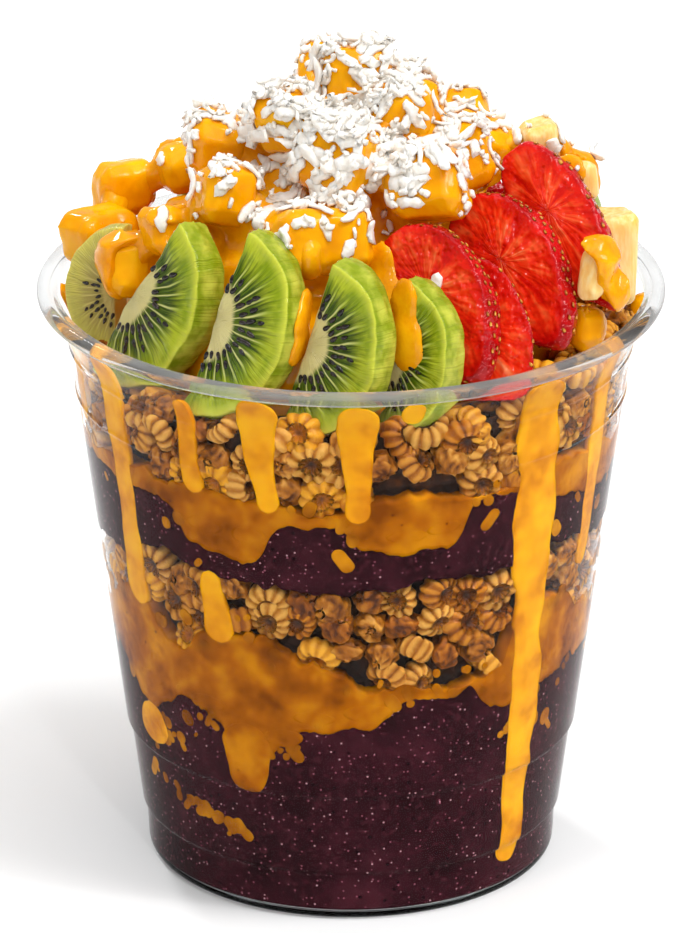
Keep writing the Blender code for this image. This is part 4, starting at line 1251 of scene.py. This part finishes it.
def flake(rng, long, wide):
    """A flat, torn, slightly curled shred of coconut, lying in XY."""
    rows = 8
    bend = rng.uniform(-0.12, 0.12)
    sway = rng.uniform(-0.2, 0.2)
    thick = rng.uniform(0.4, 0.7) * MM
    points = []
    for row in range(rows):
        share = row / (rows - 1) * 2.0 - 1.0
        half = 0.5 * wide * (1.0 - 0.6 * abs(share) ** 4.0)
        left, right = (half * rng.uniform(0.7, 1.2) for _ in range(2))
        x = share * 0.5 * long
        middle = sway * wide * math.sin(2.5 * share)
        rise = bend * long * share * share * 2.0 + rng.uniform(-0.1, 0.1) * MM
        points += [(x, middle - left, rise), (x, middle + right, rise),
                   (x + rng.uniform(-0.15, 0.15) * wide, middle + 0.8 * right, rise + thick),
                   (x + rng.uniform(-0.15, 0.15) * wide, middle - 0.8 * left, rise + thick)]
    faces = [tuple(face) for face in tube_faces(rows, 4)]
    faces += [(3, 2, 1, 0), tuple(4 * (rows - 1) + index for index in (0, 1, 2, 3))]
    return np.array(points), faces


def draped(points, heights, tree):
    """A shred's points, drawn most of the way down to the surface it lies on."""
    lying = []
    for point, height in zip(points, heights):
        near, normal, _index, _far = tree.find_nearest(Vector(point))
        lying.append(np.array(near) + np.array(normal) * (height + 0.15 * MM))
    return points + 0.45 * (np.array(lying) - points)


def make_coconut(finish):
    """Coconut over the heap, thick at its top and sparse lower down."""
    rng = random.Random(8)
    names = ("mango_cube", "pineapple_chunk", "kiwi_slice", "strawberry_slice", "mango_sauce_heap")
    tree, points, faces, owners = surfaces(names)
    parts = []
    for count, crumbs in ((560, False), (220, False), (900, True)):
        layer = []
        for _ in range(count):
            rise = math.radians(rng.uniform(24.0, 88.0))
            azimuth = rng.uniform(0.0, 360.0)
            target = Vector((rng.gauss(0.0, 14.0), rng.gauss(0.0, 14.0), rng.uniform(112.0, 136.0))) * MM
            out = spot(azimuth, 1000.0, 0.0).normalized()
            way = -(out * math.cos(rise) + Vector((0.0, 0.0, math.sin(rise))))
            place, normal, index, _far = tree.ray_cast(target - way * 0.2, way)
            if place is None or normal.dot(way) > -0.2:
                continue
            height = place.z / MM
            left = 1.0 if place.x < 12.0 * MM else 0.6
            chance = left * min(1.0, max(0.0, (height - 122.0) / 18.0)) ** 1.3 + 0.02
            if owners[index].startswith(("kiwi", "strawberry")):
                chance *= 0.12
            if rng.random() > chance:
                continue
            if crumbs:
                shape, cover = flake(rng, rng.uniform(0.8, 2.6) * MM, rng.uniform(0.7, 1.5) * MM)
            else:
                shape, cover = flake(rng, rng.uniform(3.2, 7.6) * MM, rng.uniform(1.8, 3.0) * MM)
            lean = Vector((rng.gauss(0, 0.2), rng.gauss(0, 0.2), rng.gauss(0, 0.15)))
            face = (normal + lean).normalized()
            turn = np.array(face.to_track_quat("Z", "Y").to_matrix()
                            @ Matrix.Rotation(rng.uniform(0, math.tau), 3, "Z"))
            layer.append((draped(shape @ turn.T + np.array(place) + np.array(face) * 0.2 * MM, shape[:, 2], tree), cover))
        parts += layer
        for shape, cover in layer:
            start = len(points)
            points += shape.tolist()
            faces += [tuple(index + start for index in face) for face in cover]
            owners += ["coconut"] * len(cover)
        tree = BVHTree.FromPolygons(points, faces)
    piece("coconut_flakes", gathered("coconut_flakes", parts), finish, "pineapple")


# ---------------------------------------------------------------- floor, light and camera

def studio():
    """A pale floor, soft light and the camera."""
    floor = bpy.data.meshes.new("floor")
    size = 6.0
    floor.from_pydata([(-size, -size, 0.0), (size, -size, 0.0), (size, size, 0.0), (-size, size, 0.0)], [],
                      [(0, 1, 2, 3)])
    ground = bpy.data.objects.new("floor", floor)
    bpy.context.scene.collection.objects.link(ground)
    finish = Finish("floor", Roughness=0.6)
    finish.colour(finish.mix(finish.noise(finish.place(), 3.0), (0.93, 0.93, 0.93, 1.0), (0.95, 0.95, 0.95, 1.0)))
    floor.materials.append(finish.material)

    world = bpy.data.worlds.new("studio")
    bpy.context.scene.world = world
    world.use_nodes = True
    world.node_tree.nodes["Background"].inputs[0].default_value = (1.0, 1.0, 1.0, 1.0)
    world.node_tree.nodes["Background"].inputs[1].default_value = 0.36

    for name, way, spread, power in (("sky", (0.05, -0.3, 1.0), 70, 1.45), ("key", (0.5, -0.25, 1.0), 20, 1.45)):
        lamp = bpy.data.lights.new(name, "SUN")
        lamp.energy = power
        lamp.angle = math.radians(spread)
        holder = bpy.data.objects.new(name, lamp)
        holder.rotation_euler = Vector(way).to_track_quat("Z", "Y").to_euler()
        bpy.context.scene.collection.objects.link(holder)
    for name, place, size, power in (("glint_1", (0.16, -0.9, 0.9), 0.05, 1.2), ("glint_2", (-0.55, -0.7, 0.8), 0.05, 0.8),
                                     ("glint_3", (0.7, -0.4, 0.9), 0.05, 1.2), ("back", (-0.3, 0.6, 0.6), 0.12, 2.0)):
        lamp = bpy.data.lights.new(name, "AREA")
        lamp.energy = power
        lamp.size = size
        holder = bpy.data.objects.new(name, lamp)
        holder.location = place
        holder.rotation_euler = (Vector((0.0, 0.0, 0.1)) - Vector(place)).to_track_quat("-Z", "Y").to_euler()
        bpy.context.scene.collection.objects.link(holder)

    camera = bpy.data.cameras.new("camera")
    camera.lens = 327.4
    camera.sensor_width = 36.0
    camera.clip_end = 50.0
    eye = bpy.data.objects.new("camera", camera)
    look_down = math.radians(22.84)
    eye.location = (0.0, -1.6 * math.cos(look_down), 0.0565 + 1.6 * math.sin(look_down))
    eye.rotation_euler = (math.radians(90.0 - 22.84 + 0.65), 0.0, math.radians(0.007))
    bpy.context.scene.collection.objects.link(eye)
    bpy.context.scene.camera = eye
    bpy.context.scene.view_settings.view_transform = "Standard"


def make_layers(acai, sauce, drip, smear, granola, crumb_and_shade):
    """What lies in the cup, from its floor up to the fruit."""
    azimuths = np.arange(COLUMNS) * 360.0 / COLUMNS - 180.0
    floor_level = np.full(COLUMNS, 2.2 * MM)
    low_top = level(ACAI_LOW_TOP, azimuths) + ragged(azimuths, 1.0, 1.2 * MM)
    sauce_low = level(SAUCE_LOW_TOP, azimuths) + ragged(azimuths, 2.0, 1.6 * MM)
    granola_low = level(GRANOLA_LOW_TOP, azimuths) + ragged(azimuths, 3.0, 1.2 * MM)
    acai_high = level(ACAI_HIGH_TOP, azimuths) + ragged(azimuths, 4.0, 1.0 * MM)
    sauce_high = level(SAUCE_HIGH_TOP, azimuths) + ragged(azimuths, 5.0, 1.2 * MM)
    granola_high = level(GRANOLA_HIGH_TOP, azimuths)
    piece("acai_low", band("acai_low", floor_level, low_top, 90), acai, "acai", "acai_lower")
    piece("sauce_low", band("sauce_low", low_top, sauce_low, 22, 1.3 * SKIN), sauce, "mango_sauce",
          "mango_sauce_lower")
    # The cores are painted dark as shade, seen in the gaps between the puffs.
    piece("granola_low_core", band("granola_low_core", sauce_low, granola_low, 16, -3.6 * MM), crumb_and_shade, "granola",
          "granola_lower")
    piece("acai_high", band("acai_high", granola_low, acai_high, 14), acai, "acai", "acai_upper")
    piece("sauce_high", band("sauce_high", acai_high, sauce_high, 14, 1.3 * SKIN), sauce, "mango_sauce",
          "mango_sauce_upper")
    piece("granola_high_core", band("granola_high_core", sauce_high, granola_high, 14, -3.6 * MM), crumb_and_shade,
          "granola", "granola_upper")
    spots = wall_puffs(SAUCE_LOW_TOP, GRANOLA_LOW_TOP, 21)
    piece("granola_low", granola_piece("granola_low", spots, granola, 31), granola, "granola")
    spots = wall_puffs(SAUCE_HIGH_TOP, GRANOLA_HIGH_TOP, 22)
    spots += top_puffs()
    piece("granola_high", granola_piece("granola_high", spots, granola, 32), granola, "granola")
    runs = gathered("sauce_runs", [(points, [tuple(face) for face in faces])
                                   for points, faces in (run_mesh(run, 5.0 * number)
                                                         for number, run in enumerate(RUNS))])
    lobes = gathered("sauce_lobes", [(points, [tuple(face) for face in faces])
                                     for points, faces in (run_mesh(run, 7.0 * number, 0.42 * MM)
                                                           for number, run in enumerate(LOBES))])
    piece("sauce_lobes", outward(lobes), sauce, "mango_sauce")
    piece("sauce_runs", outward(runs), drip, "mango_sauce")
    small = smears(random.Random(24), (ACAI_LOW_TOP, SAUCE_LOW_TOP, ACAI_HIGH_TOP))
    thin = gathered("sauce_smears", [(points, [tuple(face) for face in faces])
                                     for points, faces in (run_mesh(run, 3.0 * number, 0.4 * MM, 0.4 * MM)
                                                           for number, run in enumerate(small))])
    piece("sauce_smears", outward(thin), smear, "mango_sauce")


def top_puffs():
    """Puffs on top of the granola, between the fruit and the wall."""
    rng = random.Random(23)
    spots = []
    for azimuth in np.arange(-180.0, 180.0, 9.0):
        for reach in (51.0, 44.0):
            size = rng.uniform(3.6, 4.6) * MM
            height = float(level(GRANOLA_HIGH_TOP, [azimuth])[0]) / MM + rng.uniform(-1.0, 0.8)
            if 36.0 < azimuth < 100.0 and reach > 50.0:
                height += 3.0
            place = spot(azimuth + rng.uniform(-3, 3), reach - 0.0, height)
            place = keep_inside(place, size * 1.4)
            turn = math.radians(azimuth)
            wet = rng.uniform(0.3, 0.9) if rng.random() < 0.3 else 0.0
            away = (0.6 * math.sin(turn), -0.6 * math.cos(turn), 0.8)
            spots.append((place, away, size, rng.uniform(0.2, 0.9), wet))
    return spots


def main():
    """Build every piece, the floor, the light and the camera."""
    clear = plastic_finish()
    acai = acai_finish()
    sauce = sauce_finish("mango_sauce", srgb(122, 60, 2), srgb(172, 96, 2), srgb(212, 138, 5), 0.6, 0.04)
    drip = sauce_finish("mango_drip", srgb(206, 122, 2), srgb(238, 160, 4), srgb(252, 184, 10), 0.9, 0.1)
    pour = sauce_finish("mango_pour", srgb(222, 136, 2), srgb(242, 160, 4), srgb(252, 184, 12), 0.97)
    granola, crumb_and_shade = granola_finish(), crumb_and_shade_finish()
    studio()
    piece("clear_cup", cup_mesh(), clear, "clear_plastic", "cup")
    smear = sauce_finish("mango_smear", srgb(120, 62, 4), srgb(170, 100, 6), srgb(214, 142, 12), 0.6, 0.04)
    make_layers(acai, sauce, drip, smear, granola, crumb_and_shade)
    make_kiwis(kiwi_finish(), seed_finish("kiwi_seed", srgb(14, 8, 6), srgb(40, 26, 18)))
    make_berries(berry_finish(), seed_finish("berry_seed", srgb(170, 92, 20), srgb(216, 152, 52)))
    make_chunks(mango_finish(), pineapple_finish())
    sauce_mound(pour)
    make_coconut(coconut_finish())


main()
